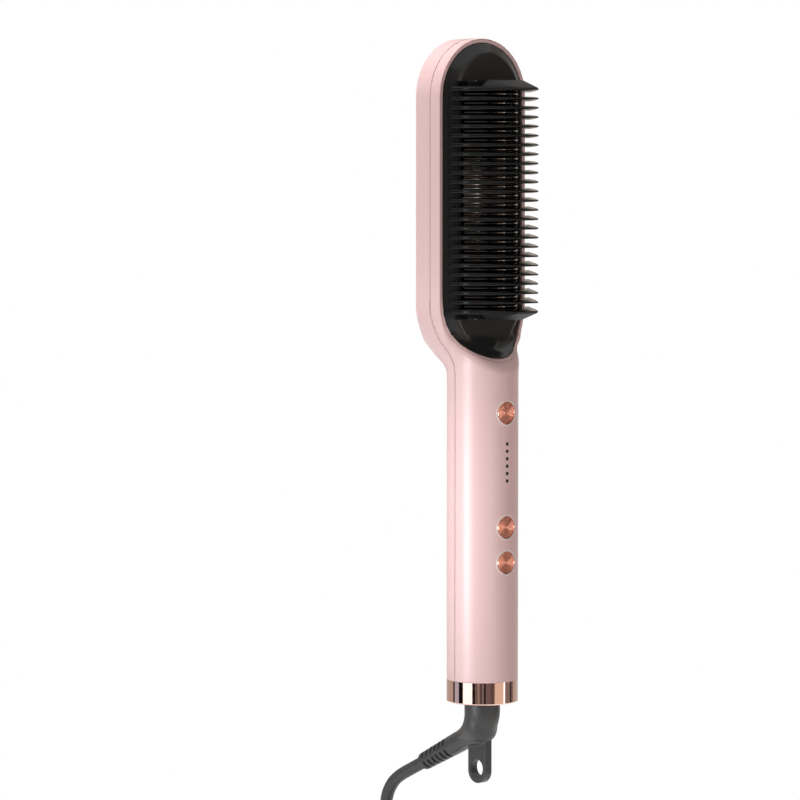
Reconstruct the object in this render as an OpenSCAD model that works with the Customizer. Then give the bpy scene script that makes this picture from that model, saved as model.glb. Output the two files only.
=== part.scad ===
// Hair straightening brush: a heated comb in an oval head on a round handle,
// with three buttons, a row of lamps and a mains cord on a swivel.
// The long axis is Z with the head up, the teeth and buttons face -Y, and the
// origin lies on the handle's axis at the middle of the grip.

/* [Handle] */
// Outer diameter of the handle
handle_d = 30; // [29:0.5:32]
// Length of the handle from the end ring to the lower end of the head
handle_len = 133.8; // [132:0.1:160]
// Wall thickness of the two housing shells
shell_wall = 2; // [1.8:0.1:2.2]
// Height of the grip centre above the lower edge of the end ring
grip_height = 75; // [70:1:85]
// Height of the polished end ring
ring_h = 9.2; // [9:0.1:12]
// How far the handle flares out where it meets the head
neck_flare = 1.4; // [0.5:0.1:2]
// Place of the seam behind the handle's axis
handle_seam = 1; // [0:0.1:2]

/* [Head] */
// Width of the head
head_w = 49; // [48:0.5:52]
// Length of the head
head_len = 135; // [134.5:0.5:160]
// Depth of the head from its front rim to its back
head_depth = 15; // [14.5:0.1:17]
// Depth of the seam behind the front rim of the head
head_seam = 6; // [5:0.1:7]
// Length over which the handle's front slopes down to the front rim
neck_slope = 20; // [18:0.5:24]
// Width of the coloured lip around the black front
lip_w = 1.8; // [1.2:0.1:2]
// Height of the black front's flat middle above the rim
plateau_h = 2.8; // [2:0.1:3.2]
// Width of the sloping band around the flat middle
band_w = 4.5; // [4:0.1:5]
// Thickness of the black front
bezel_t = 1.6; // [1.4:0.1:1.8]

/* [Comb] */
// Number of fins across the comb
fin_count = 25; // [21:2:25]
// Distance from one fin to the next
fin_pitch = 3.83; // [3.6:0.01:3.9]
// Reach of the fins in front of the rim
fin_reach = 27.5; // [24:0.5:29]
// Width of a fin between its two tips
fin_w = 45.8; // [44:0.2:46]
// Width of a fin at its crest
fin_crest_w = 12; // [10:0.5:14]
// Height of a fin's two tips above the rim
fin_tip_h = 4.7; // [4.4:0.1:5]
// Thickness of a fin at its foot
fin_foot_t = 1.7; // [1.5:0.1:1.8]
// Thickness of a fin at its crest
fin_crest_t = 1; // [0.5:0.1:1.2]
// Thickness of the comb's two end walls at their foot
end_wall_t = 4.4; // [3.6:0.1:4.6]
// Reach of the heated ribs in front of the rim
rib_reach = 15; // [12:0.5:17]
// Thickness of a heated rib at its foot
rib_t = 1.3; // [1.1:0.1:1.4]

/* [Back] */
// Width of the metallic frame on the back
frame_w = 3.8; // [3:0.1:4.5]
// Width of the housing's edge around the frame
back_margin = 1.5; // [1.3:0.1:2]
// Depth of the printed panel below the housing's back
panel_recess = 1.45; // [1.2:0.05:1.6]

/* [Buttons and lamps] */
// Diameter of a button
button_d = 9.4; // [8.6:0.1:9.8]
// Travel of a button
button_travel = 0.6; // [0.3:0.1:0.7]
// Distance from the end ring up to the power button
power_button_up = 113.1; // [111:0.1:114]
// Distance from the end ring up to the plus button
plus_button_up = 65.2; // [64:0.1:67]
// Distance from the end ring up to the minus button
minus_button_up = 50.4; // [49:0.1:51]
// Diameter of a lamp window
lamp_d = 1.7; // [1.4:0.1:2]
// Distance from one lamp to the next
lamp_pitch = 3.1; // [2.8:0.1:3.3]
// Distance from the end ring up to the lowest lamp
lamp_up = 84.7; // [83:0.1:86]

/* [Swivel] */
// Diameter of the swivel spindle
spindle_d = 10; // [9.4:0.1:10.4]
// Diameter of the collar below the end ring
collar_d = 15; // [14:0.2:17]
// Distance from the end ring's lower edge down to the centre of the elbow
elbow_drop = 12; // [11.5:0.1:12.5]
// Diameter of the cord guard where it leaves the elbow
boot_root_d = 9.4; // [9:0.1:10]
// Diameter of the cord guard at its end
boot_end_d = 7.6; // [7:0.1:8]
// Width of the hanging tab
tab_w = 10.6; // [10.4:0.1:12]
// Thickness of the hanging tab
tab_t = 4; // [3:0.1:4.5]
// Diameter of the hole in the hanging tab
loop_d = 7.4; // [6.5:0.1:7.8]

/* [Cord and plug] */
// Diameter of the mains cord
cord_d = 5.4; // [5.2:0.1:5.4]
// Distance between the centres of the two plug pins
pin_spacing = 19; // [18:0.1:19]
// Diameter of a plug pin
pin_d = 4; // [3.8:0.1:4.2]
// Length of a plug pin
pin_len = 19; // [17:0.5:20]
// Width of the plug body
plug_w = 35.3; // [33:0.1:37]
// Thickness of the plug body
plug_t = 13.7; // [13:0.1:15]

/* [Hidden] */
$fn = 96;

// Small distances that many pieces share
touch_gap = 0.1;
run_gap = 0.05;
free_gap = 0.3;
over = 1;

// Heights along the handle and the head
ring_low = -grip_height;
ring_top = ring_low + ring_h;
head_low = ring_top + handle_len;
head_high = head_low + head_len;
arc_low = head_low + head_w / 2;
arc_high = head_high - head_w / 2;

// Radii and depths of the housing
handle_r = handle_d / 2;
bore_r = handle_r - shell_wall;
head_r = head_w / 2;
back_y = handle_r;
rim_y = back_y - head_depth;
recess_y = back_y - panel_recess - 0.65;
floor_y = recess_y - 1.7;
pocket_r = head_r - lip_w;
bezel_r = pocket_r - touch_gap;
ledge_y = rim_y + bezel_t;
ledge_t = 1.5;
ledge_r = pocket_r - 1.9;
plateau_r = bezel_r - band_w;

// The sloping neck and the seam run along half waves
neck_low = head_low - 6;
neck_high = neck_low + neck_slope;
seam_low = head_low - 3;
seam_high = arc_low - 0.5;
wave_steps = 14;
function half_wave(t) = (1 - cos(180 * min(max(t, 0), 1))) / 2;
function neck_y(z) =
    -handle_r - 0.2 + (handle_r + 0.2 + rim_y) * half_wave((z - neck_low) / neck_slope);
function seam_y(z) =
    handle_seam + (rim_y + head_seam - handle_seam)
    * half_wave((z - seam_low) / (seam_high - seam_low));

// The comb and the heater behind it
comb_lift = 0.25;
comb_mid = (arc_low + arc_high) / 2 + comb_lift;
comb_half = (fin_count - 1) / 2 * fin_pitch;
comb_y = rim_y - plateau_h;
comb_frame_h = 1.2;
comb_frame_r = plateau_r - 0.1;
comb_window_r = comb_frame_r - 2.3;
fin_foot_y = comb_y - 0.9;
window_r = 14.5;
window_half = comb_half - fin_foot_t / 2 - 0.1;
plate_back = rim_y + 1.4;
plate_front = comb_y - 0.4;
plate_seat = comb_y + bezel_t;
element_t = 1.6;
element_w = 9;
element_half = window_half - 5;
sheet_t = 0.4;
clamp_t = 1;
clamp_y = plate_back + element_t + sheet_t;
clamp_screw_x = 17.2;
clamp_screw_z = window_half - 8.5;
housing_screw_x = 17.4;
housing_screw_z = window_half - 20.5;
housing_boss_y = floor_y - 1.6;
comb_screw_x = 9;
comb_screw_z = comb_half + 2.85;
column_d = 4.4;
screw_d = 2;
thread_gap = 0.1;

// The front of the comb's fins, seen from above
fin_tip_r = 0.7;
fin_half = fin_w / 2;
crest_half = fin_crest_w / 2;
crest_y = rim_y - fin_reach;
tip_y = rim_y - fin_tip_h;
frame_y = comb_y - comb_frame_h;

// The board and what stands on it
board_y = -handle_r + 9.4;
board_t = 1.2;
board_w = 21;
board_low = ring_top + 40;
board_high = ring_top + 122;
board_screw_x = 7.6;
board_screw_low = board_low + 4;
board_screw_high = board_high - 4;
switch_w = 6.2;
switch_h = 3.5;
plunger_d = 3.5;
plunger_top = 0.8;
button_front = 0.35;
button_gap = 0.1;
flange_t = 1;
flange_over = 1.1;
flange_front = -bore_r + 1.65;
stem_d = 4;
key_y = board_y - switch_h - plunger_top;
power_z = ring_top + power_button_up;
plus_z = ring_top + plus_button_up;
minus_z = ring_top + minus_button_up;
lamp_count = 6;
lamp_low = ring_top + lamp_up;
lamp_high = lamp_low + (lamp_count - 1) * lamp_pitch;
guide_w = 3.6;
guide_front = -bore_r + 0.4;
guide_t = 1;

// The bearing at the end of the handle
collar_rib_h = 5.8;
collar_rib = 1.2;
cap_r = bore_r - collar_rib - touch_gap;
cap_flange_t = 1.9;
cap_low = ring_low + 0.6;
ring_lip_low = cap_low + cap_flange_t;
ring_lip_t = 1.2;
ring_wall = 2.1;
hub_high = ring_top - 0.2;
hook_low = ring_top + collar_rib_h + touch_gap;
hook_h = 1.1;
skirt_high = hook_low + hook_h;
skirt_wall = 1.8;
spindle_r = spindle_d / 2;
spindle_low = ring_low + free_gap;
clip_low = hub_high + touch_gap;
clip_t = 1;
neck_r = spindle_r - 0.8;
spindle_mid = ring_top + 3.6;
core_r = 3.5;
thin_core_r = 3;
big_ring_low = ring_top + 5;
big_ring_r = core_r + 1.1;
small_ring_low = ring_top + 10.2;
small_ring_r = thin_core_r + 1;
slip_ring_h = 3;
spindle_high = small_ring_low + slip_ring_h + 1;
holder_low = skirt_high;
holder_high = holder_low + 11.5;
holder_t = 2.4;
spring_w = 3;
spring_t = 0.3;
spring_gap = 0.2;

// The cord guard
collar_top = ring_low + free_gap;
collar_r = collar_d / 2;
elbow_z = ring_low - elbow_drop;
bulb_top = ring_low - 4;
bulb_h = 12.5;
bulb_steps = 8;
boot_dir = [0, 2, -1] / norm([0, 2, -1]);
boot_end = [0, 36, ring_low - 30];
boot_len = norm(boot_end - [0, 0, elbow_z]);
slot_count = 6;
slot_pitch = 3;
slot_w = 1.2;
slot_start = boot_len - 3.2 - (slot_count - 1) * slot_pitch;
tab_y = 1.4;
loop_z = elbow_z - 16.6;
tab_round_z = elbow_z - 17.7;
peg_r = 2.5;
peg_len = 4;

// Route of the cord from the guard to the top of the hank
lead_points = [
    [0, 36, -105], [0, 43, -108.5], [0, 50, -112], [0, 54.3, -114.8], [0, 57, -117.5],
    [0.1, 59.2, -120.7], [0.4, 60.8, -124.2], [0.9, 61.8, -127.9], [1.5, 62.2, -132],
    [2.1, 62.2, -137], [2.6, 62.2, -142], [2.9, 62.2, -148], [3, 62.2, -156],
    [3, 62.2, -164]
];
// The hank winds inwards in one layer and outwards in the other
hank_quarters = 21;
hank_mid = hank_quarters / 8;
hank_run = 84;
hank_step = 6.4;
hank_inner_r = 16.6;
hank_waist = 11;
waist_near = 0.3;
waist_far = 0.76;
hank_x = 3;
hank_y = 62.2 - hank_inner_r - hank_step * hank_mid;
hank_z = -164 - hank_run / 2;
hank_end_z = hank_z - hank_run / 2;
tail_points = [[-3, 62.2, -248], [-3, 62.2, -256], [-3, 62.2, -264], [-3, 62.2, -272]];
tie_h = 10;
tie_t = 1.2;
relief_len = 22;
relief_d = 8.4;
plug_top = -272;
plug_len = 34;
plug_x = -3;
plug_y = 62.2;

// Extrudes a side view, drawn with Y across and Z up, over a width along X
module from_side(w) {
    rotate([90, 0, 90]) linear_extrude(w, center = true) children();
}

// Extrudes a front view, drawn with X across and Z up, from y0 to y1
module from_front(y0, y1) {
    translate([0, y1, 0]) rotate([90, 0, 0]) linear_extrude(y1 - y0) children();
}

// Extrudes a plan, drawn with X across and Y up, from z0 to z1
module from_above(z0, z1) {
    translate([0, 0, z0]) linear_extrude(z1 - z0) children();
}

// A round bar from y0 to y1
module bar_y(d, y0, y1, x = 0, z = 0) {
    translate([x, y1, z]) rotate([90, 0, 0]) cylinder(d = d, h = y1 - y0);
}

// A round bar between any two points
module bar(p, q, d, d2 = 0) {
    v = q - p;
    turn = atan2(v[1], v[0]);
    tilt = acos(v[2] / norm(v));
    translate(p) rotate([0, tilt, turn]) cylinder(d1 = d, d2 = d2 > 0 ? d2 : d, h = norm(v));
}

// The oval outline of the head, seen from the front
module oval(r) {
    translate([0, arc_low]) circle(r);
    translate([0, arc_high]) circle(r);
    translate([-r, arc_low]) square([2 * r, arc_high - arc_low]);
}

// Sweeps a section, drawn with the distance from the arc centre across, round the oval
module round_oval() {
    for (high = [0, 1])
        translate([0, 0, high ? arc_high : arc_low])
            rotate([-90, 0, 0])
                rotate([0, 0, 180 * high])
                    rotate_extrude(angle = 180) children();
    for (side = [0, 1])
        mirror([side, 0, 0]) from_above(arc_low, arc_high) children();
}

// The handle with its flare, as a turned solid
module handle_solid(inset = 0) {
    flare = [for (i = [0 : 8]) [
        handle_r + neck_flare * pow(i / 8, 2) - inset,
        head_low - 6 + 12 * i / 8
    ]];
    intersection() {
        rotate_extrude() polygon(concat(
            [[0, ring_top], [handle_r - inset, ring_top]], flare,
            [[handle_r + neck_flare + 2.6 - inset, head_low + 9.5],
             [handle_r + neck_flare + 2.6 - inset, arc_low], [0, arc_low]]
        ));
        translate([-head_r, -handle_r - 1, ring_top - over])
            cube([head_w, handle_r + 1 + back_y - inset, arc_low - ring_top + over]);
    }
}

// Everything inside the housing's outer skin
module housing_solid() {
    handle_solid();
    from_front(rim_y, back_y) oval(head_r);
}

// What lies in front of the seam, or behind it
module seam_side(front) {
    far = front ? -handle_r - 5 : back_y + 5;
    from_side(head_w + 10) polygon(concat(
        [[far, ring_top - over], [handle_seam, ring_top - over]],
        [for (i = [0 : wave_steps]) let(z = seam_low + (seam_high - seam_low) * i / wave_steps)
            [seam_y(z), z]],
        [[rim_y + head_seam, head_high + over], [far, head_high + over]]
    ));
}

// What lies behind the sloping front of the neck and the head's rim
module behind_front(dy = 0, dz = 0) {
    from_side(head_w + 10) polygon(concat(
        [[back_y + 5, ring_top - 2 * over], [-handle_r - 2, ring_top - 2 * over],
         [-handle_r - 2, neck_low - dz]],
        [for (i = [0 : wave_steps]) let(z = neck_low + neck_slope * i / wave_steps)
            [neck_y(z) + dy, z - dz]],
        [[rim_y + dy, head_high + 2 * over], [back_y + 5, head_high + 2 * over]]
    ));
}

// The long hollow inside the handle, narrower at its lower end where the cap grips
module handle_hollow() {
    intersection() {
        union() {
            translate([0, 0, ring_top + collar_rib_h])
                cylinder(r = bore_r, h = head_low - 2.5 - ring_top - collar_rib_h);
            translate([0, 0, ring_top - over])
                cylinder(r = bore_r - collar_rib, h = collar_rib_h + 2 * over);
            intersection() {
                translate([0, 0, head_low - 4]) cylinder(r = bore_r, h = head_r - 2);
                translate([-head_r, -handle_r, head_low - 5])
                    cube([head_w, handle_r + floor_y, head_r]);
            }
        }
        behind_front(1.6, 1.5);
    }
}

// Puts a thing at the four places given by a half width and a half height about the comb
module at_four(x, z) {
    for (sx = [-1, 1], sz = [-1, 1]) translate([sx * x, 0, comb_mid + sz * z]) children();
}

module rear_shell() {
    color("#f3cfd0")
    difference() {
        union() {
            difference() {
                intersection() {
                    housing_solid();
                    seam_side(false);
                }
                handle_hollow();
                from_front(rim_y + 1, floor_y) oval(head_r - shell_wall);
            }
            at_four(housing_screw_x, housing_screw_z) bar_y(8, housing_boss_y, floor_y + 0.5);
        }
        from_front(recess_y, back_y + over) oval(head_r - back_margin);
        at_four(housing_screw_x, housing_screw_z) {
            bar_y(screw_d + 0.6, housing_boss_y - over, back_y);
            bar_y(5.2, floor_y - 0.1, back_y);
        }
    }
}

module board_boss(x, z) {
    intersection() {
        bar_y(column_d, -handle_r, board_y, x, z);
        cylinder(r = handle_r - 1, h = 4 * grip_height, center = true);
    }
}

module front_shell() {
    color("#f6d6d8")
    difference() {
        union() {
            difference() {
                intersection() {
                    housing_solid();
                    seam_side(true);
                    behind_front();
                }
                handle_hollow();
                from_front(ledge_y + ledge_t, back_y) oval(head_r - shell_wall);
                from_front(-handle_r - 2, back_y) oval(ledge_r);
                from_front(-handle_r - 2, ledge_y) oval(pocket_r);
            }
            for (x = [-board_screw_x, board_screw_x], z = [board_screw_low, board_screw_high])
                board_boss(x, z);
        }
        for (z = [power_z, plus_z, minus_z])
            bar_y(button_d + 2 * button_gap, -handle_r - over, -bore_r + 3, 0, z);
        for (i = [0 : lamp_count - 1])
            bar_y(lamp_d + 0.2, -handle_r - over, -bore_r + 2, 0, lamp_low + i * lamp_pitch);
        for (x = [-board_screw_x, board_screw_x], z = [board_screw_low, board_screw_high])
            bar_y(screw_d - 0.3, board_y - 4, board_y + over, x, z);
    }
}

// The curved plate that climbs from the flat middle up to the handle's front
module bezel_ramp() {
    foot_z = head_low + 12;
    top_z = head_low + lip_w + touch_gap;
    rise = 6.8;
    run = foot_z - top_z;
    ramp_r = (run * run + rise * rise) / (2 * rise);
    sweep = asin(run / ramp_r);
    steps = 10;
    function ramp_point(r, a) = [comb_y - ramp_r + r * cos(a), foot_z - r * sin(a)];
    intersection() {
        from_side(head_w) polygon(concat(
            [[comb_y, foot_z + 1], [comb_y + bezel_t, foot_z + 1]],
            [for (i = [0 : steps]) ramp_point(ramp_r + bezel_t, sweep * i / steps)],
            [for (i = [steps : -1 : 0]) ramp_point(ramp_r, sweep * i / steps)]
        ));
        from_front(-handle_r, back_y) oval(bezel_r);
        cylinder(r = handle_r - 0.6, h = 4 * (grip_height + head_len), center = true);
    }
}

module bezel() {
    color("#2c2c2b")
    difference() {
        union() {
            difference() {
                union() {
                    round_oval() polygon([
                        [bezel_r, ledge_y], [bezel_r, rim_y + 0.2], [plateau_r, comb_y],
                        [plateau_r - 1, comb_y], [plateau_r - 1, comb_y + bezel_t],
                        [plateau_r - 0.3, comb_y + bezel_t], [ledge_r - 0.2, ledge_y]
                    ]);
                    from_front(comb_y, comb_y + bezel_t) oval(plateau_r - 0.5);
                }
                translate([-window_r, comb_y - over, comb_mid - window_half])
                    cube([2 * window_r, bezel_t + 2 * over, 2 * window_half]);
                translate([0, 0, head_low - 10]) cylinder(r = bore_r, h = 22);
            }
            bezel_ramp();
            at_four(clamp_screw_x, clamp_screw_z) bar_y(column_d, comb_y + 0.5, clamp_y);
            at_four(housing_screw_x, housing_screw_z)
                bar_y(5, comb_y + 0.5, housing_boss_y);
        }
        at_four(clamp_screw_x, clamp_screw_z) bar_y(screw_d + 2 * thread_gap, comb_y + 1.4, back_y);
        at_four(housing_screw_x, housing_screw_z)
            bar_y(screw_d + 2 * thread_gap, comb_y + 1.4, back_y);
        at_four(comb_screw_x, comb_screw_z)
            bar_y(column_d + 0.2, comb_y - over, comb_y + bezel_t + over);
    }
}

// Outline of one fin seen from above, with round tips
module fin_plan() {
    polygon([
        [-comb_window_r, fin_foot_y], [-fin_half + 2.2, tip_y + 1.6],
        [-fin_half + fin_tip_r, tip_y + fin_tip_r * 0.9],
        [-fin_half, tip_y - 0.2], [-fin_half + 0.4, tip_y - 1.4],
        [-crest_half - 0.6, crest_y + 0.7], [-crest_half, crest_y + 0.15],
        [-crest_half + 0.8, crest_y], [crest_half - 0.8, crest_y],
        [crest_half, crest_y + 0.15], [crest_half + 0.6, crest_y + 0.7],
        [fin_half - 0.4, tip_y - 1.4], [fin_half, tip_y - 0.2],
        [fin_half - fin_tip_r, tip_y + fin_tip_r * 0.9],
        [fin_half - 2.2, tip_y + 1.6], [comb_window_r, fin_foot_y]
    ]);
}

// Side view of a row of tapered blades about the middle of the comb
module blades(count, foot, crest, foot_y, top_y) {
    for (i = [0 : count - 1]) {
        z = comb_mid + (i - (count - 1) / 2) * fin_pitch;
        polygon([
            [foot_y, z - foot / 2], [foot_y, z + foot / 2],
            [top_y + 0.4, z + crest / 2], [top_y, z + crest / 4],
            [top_y, z - crest / 4], [top_y + 0.4, z - crest / 2]
        ]);
    }
}

// One end wall: its outer face leans from a thick foot to a fin's own outline
module end_wall() {
    hull() {
        from_above(-fin_foot_t / 2, -fin_foot_t / 2 + fin_crest_t + 0.4) fin_plan();
        from_above(end_wall_t - fin_foot_t / 2 - 0.4, end_wall_t - fin_foot_t / 2)
            polygon([
                [-comb_frame_r, comb_y], [comb_frame_r, comb_y],
                [comb_frame_r + 1.4, comb_y - 0.8], [comb_frame_r + 1.4, comb_y - 2.2],
                [comb_frame_r - 0.6, comb_y - 3.4], [-comb_frame_r + 0.6, comb_y - 3.4],
                [-comb_frame_r - 1.4, comb_y - 2.2], [-comb_frame_r - 1.4, comb_y - 0.8]
            ]);
    }
}

module comb() {
    color("#262626")
    difference() {
        union() {
            intersection() {
                from_side(fin_w + 10)
                    blades(fin_count, fin_foot_t, fin_crest_t, fin_foot_y + 0.2, crest_y);
                from_above(comb_mid - comb_half - 3, comb_mid + comb_half + 3) fin_plan();
            }
            difference() {
                from_front(frame_y, comb_y)
                    translate([-comb_frame_r, comb_mid - comb_half - 3.4])
                        square([2 * comb_frame_r, 2 * comb_half + 6.8]);
                from_front(frame_y - over, comb_y + over)
                    translate([-comb_window_r, comb_mid - window_half])
                        square([2 * comb_window_r, 2 * window_half]);
            }
            translate([0, 0, comb_mid + comb_half]) end_wall();
            translate([0, 0, comb_mid - comb_half]) mirror([0, 0, 1]) end_wall();
            at_four(comb_screw_x, comb_screw_z) bar_y(column_d, comb_y - 0.5, plate_seat);
        }
        at_four(comb_screw_x, comb_screw_z) bar_y(screw_d + 2 * thread_gap, comb_y - 3, plate_seat + over);
    }
}

module heater_plate() {
    rib_half = comb_window_r - free_gap;
    rib_crest_half = rib_half * 0.5;
    rib_top_y = rim_y - rib_reach;
    wing_r = clamp_screw_x - column_d / 2 - 0.4;
    color("#3b3634")
    union() {
        translate([-window_r + free_gap, plate_front, comb_mid - window_half + free_gap])
            cube([
                2 * (window_r - free_gap), plate_back - plate_front,
                2 * (window_half - free_gap)
            ]);
        for (z = [-window_half, -4, window_half - 6])
            translate([-window_r - 2, plate_seat, comb_mid + z])
                cube([2 * (window_r + 2), plate_back - plate_seat, z == -4 ? 8 : 6]);
        intersection() {
            from_side(2 * head_w)
                blades(fin_count - 1, rib_t, rib_t * 0.6, plate_front + 0.2, rib_top_y);
            from_above(comb_mid - comb_half, comb_mid + comb_half) polygon([
                [-window_r + free_gap, plate_front + 0.5], [-window_r + free_gap, plate_front],
                [-window_r + free_gap, frame_y - free_gap], [-rib_half, frame_y - free_gap],
                [-rib_half, frame_y - 1], [-rib_half * 0.86, frame_y - 3.6],
                [-rib_crest_half, rib_top_y + 0.9], [-rib_crest_half * 0.5, rib_top_y + 0.2],
                [0, rib_top_y], [rib_crest_half * 0.5, rib_top_y + 0.2],
                [rib_crest_half, rib_top_y + 0.9], [rib_half * 0.86, frame_y - 3.6],
                [rib_half, frame_y - 1], [rib_half, frame_y - free_gap],
                [window_r - free_gap, frame_y - free_gap], [window_r - free_gap, plate_front],
                [window_r - free_gap, plate_front + 0.5]
            ]);
        }
    }
}

module heating_element() {
    color("#e8e2d2") {
        translate([-element_w / 2, plate_back, comb_mid - element_half])
            cube([element_w, element_t, 2 * element_half]);
        for (x = [-2.6, 2.6])
            translate([x - 0.6, plate_back + 0.6, comb_mid - element_half - 9])
                cube([1.2, 0.4, 9]);
    }
}

module insulating_sheet() {
    color("#c9b88a")
    translate([-element_w / 2 - 2, plate_back + element_t, comb_mid - element_half - 1])
        cube([element_w + 4, sheet_t, 2 * element_half + 2]);
}

module heater_clamp() {
    bar_half = element_half - 2;
    color("#b9bcc0")
    difference() {
        union() {
            translate([-element_w / 2 - 3, clamp_y, comb_mid - bar_half])
                cube([element_w + 6, clamp_t, 2 * bar_half]);
            for (z = [-clamp_screw_z, clamp_screw_z])
                translate([-clamp_screw_x - 2.6, clamp_y, comb_mid + z - 3])
                    cube([2 * clamp_screw_x + 5.2, clamp_t, 6]);
        }
        at_four(clamp_screw_x, clamp_screw_z)
            bar_y(screw_d + 0.4, clamp_y - over, clamp_y + clamp_t + over);
    }
}

// A pan-headed screw whose head lies towards +Y
module screw_y(head_y, shank, d = screw_d) {
    bar_y(d * 2.1, head_y, head_y + d * 0.7);
    bar_y(d, head_y - shank, head_y + 0.1);
}

module clamp_screws() {
    color("#9a9da1") at_four(clamp_screw_x, clamp_screw_z) screw_y(clamp_y + clamp_t, 5);
}

module comb_screws() {
    color("#9a9da1") at_four(comb_screw_x, comb_screw_z) screw_y(plate_seat, 4, screw_d);
}

module housing_screws() {
    color("#9a9da1") at_four(housing_screw_x, housing_screw_z) screw_y(floor_y - 0.1, 9);
}

module thermal_fuse() {
    fuse_d = 3.6;
    fuse_y = clamp_y + clamp_t + fuse_d / 2;
    color("#d9d4c8") {
        translate([-4, fuse_y, comb_mid - 5]) cylinder(d = fuse_d, h = 10);
        translate([-4, fuse_y, comb_mid - 12]) cylinder(d = 0.8, h = 7);
        translate([-4, fuse_y, comb_mid + 5]) cylinder(d = 0.8, h = 7);
    }
}

module temperature_sensor() {
    bead_d = 2.4;
    bead_y = clamp_y + clamp_t + bead_d / 2;
    color("#2f2f33") {
        translate([4, bead_y, comb_mid - 18]) cylinder(d = bead_d, h = 5);
        translate([4, bead_y, comb_mid - 26]) cylinder(d = 1, h = 8);
    }
}

module back_frame() {
    frame_out = head_r - back_margin - touch_gap;
    frame_in = frame_out - frame_w;
    color("#c28676")
    round_oval() polygon([
        [frame_out, recess_y], [frame_out, back_y - 0.1], [frame_out - 0.4, back_y + 0.2],
        [frame_out - 1, back_y + 0.2], [frame_in, back_y - panel_recess + 0.25],
        [frame_in, recess_y]
    ]);
}

module back_panel() {
    color("#f2b9b6")
    from_front(recess_y, back_y - panel_recess)
        oval(head_r - back_margin - frame_w - 2 * touch_gap);
}

module control_board() {
    color("#2f6b46")
    difference() {
        translate([-board_w / 2, board_y, board_low])
            cube([board_w, board_t, board_high - board_low]);
        for (x = [-board_screw_x, board_screw_x], z = [board_screw_low, board_screw_high])
            bar_y(screw_d, board_y - over, board_y + board_t + over, x, z);
    }
}

module board_screws() {
    color("#9a9da1")
    for (x = [-board_screw_x, board_screw_x], z = [board_screw_low, board_screw_high])
        translate([x, 0, z]) screw_y(board_y + board_t, 4, screw_d - 0.4);
}

module power_parts() {
    back = board_y + board_t;
    color("#5c6066") translate([-7, back, board_low + 12]) cube([10, 4.4, 15]);
    color("#d8a13a") translate([-6, back, board_low + 34]) cube([12, 6, 10]);
    color("#3a4a66") translate([3, back + 3.2, board_low + 52]) cylinder(d = 6.4, h = 11);
    color("#1f1f22") translate([-8, back, board_low + 52]) cube([7, 1.8, 9]);
}

module key_switches() {
    color("#3a3a3d")
    for (z = [power_z, plus_z, minus_z])
        difference() {
            translate([-switch_w / 2, board_y - switch_h, z - switch_w / 2])
                cube([switch_w, switch_h, switch_w]);
            bar_y(plunger_d + 2 * run_gap, board_y - switch_h - over, board_y - 0.8, 0, z);
        }
}

module lamps() {
    color("#fbf3c8")
    for (i = [0 : lamp_count - 1])
        translate([-0.8, board_y - 0.7, lamp_low + i * lamp_pitch - 0.4])
            cube([1.6, 0.7, 0.8]);
}

module light_guide() {
    end = 1.9;
    leg = 1.6;
    color("#3a3030") {
        translate([-guide_w / 2, guide_front, lamp_low - end - leg])
            cube([guide_w, guide_t, lamp_high - lamp_low + 2 * (end + leg)]);
        for (z = [lamp_low - end - leg, lamp_high + end])
            translate([-guide_w / 2, guide_front, z])
                cube([guide_w, board_y - guide_front, leg]);
        for (i = [0 : lamp_count - 1])
            bar_y(lamp_d, -handle_r + 0.05, guide_front + 0.1, 0, lamp_low + i * lamp_pitch);
    }
}

module heater_wires() {
    wire_d = 1.6;
    top_z = comb_mid - element_half - 9;
    mid_z = head_low - 2;
    y_up = plate_back + 1.8;
    y_board = board_y + board_t + wire_d / 2;
    color("#f0f0ee")
    for (x = [-2.6, 2.6]) {
        bar([x, y_up, mid_z + 6], [x, y_up, top_z + 2], wire_d);
        bar([x, y_board, mid_z - 2], [x, y_up, mid_z + 6], wire_d);
        translate([x, y_up, mid_z + 6]) sphere(d = wire_d + 0.2);
        bar([x, y_board, board_high - 3], [x, y_board, mid_z - 2], wire_d);
        translate([x, y_board, mid_z - 2]) sphere(d = wire_d + 0.2);
    }
}

module supply_wires() {
    wire_d = 1.8;
    y_board = board_y + board_t + wire_d / 2;
    color("#8a5a3a")
    for (x = [-5, 5]) {
        bar([x, y_board, board_low + 8], [x, y_board, board_low - 6], wire_d);
        bar([x, y_board, board_low - 6], [x, 0, holder_high + 8], wire_d);
        bar([x, 0, holder_high + 8], [x, 0, holder_high + spring_t], wire_d);
        translate([x, y_board, board_low - 6]) sphere(d = wire_d + 0.2);
        translate([x, 0, holder_high + 8]) sphere(d = wire_d + 0.2);
    }
}

module end_ring() {
    edge = 0.8;
    lip_in = cap_r + touch_gap;
    bore = handle_r - ring_wall;
    color("#c99a84")
    rotate_extrude() polygon([
        [bore, ring_low], [handle_r - edge, ring_low], [handle_r - edge * 0.3, ring_low + edge * 0.3],
        [handle_r, ring_low + edge], [handle_r, ring_top], [lip_in, ring_top],
        [lip_in, ring_lip_low], [bore, ring_lip_low]
    ]);
}

module end_cap() {
    hook_r = bore_r - 0.4;
    flange_r = handle_r - ring_wall - touch_gap;
    bore = spindle_r + run_gap;
    skirt_in = cap_r - skirt_wall;
    color("#3d3d3d")
    rotate_extrude() polygon([
        [bore, cap_low], [flange_r, cap_low], [flange_r, ring_lip_low], [cap_r, ring_lip_low],
        [cap_r, hook_low], [hook_r, hook_low], [cap_r, skirt_high], [skirt_in, skirt_high],
        [skirt_in, hub_high], [bore, hub_high]
    ]);
}

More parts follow.
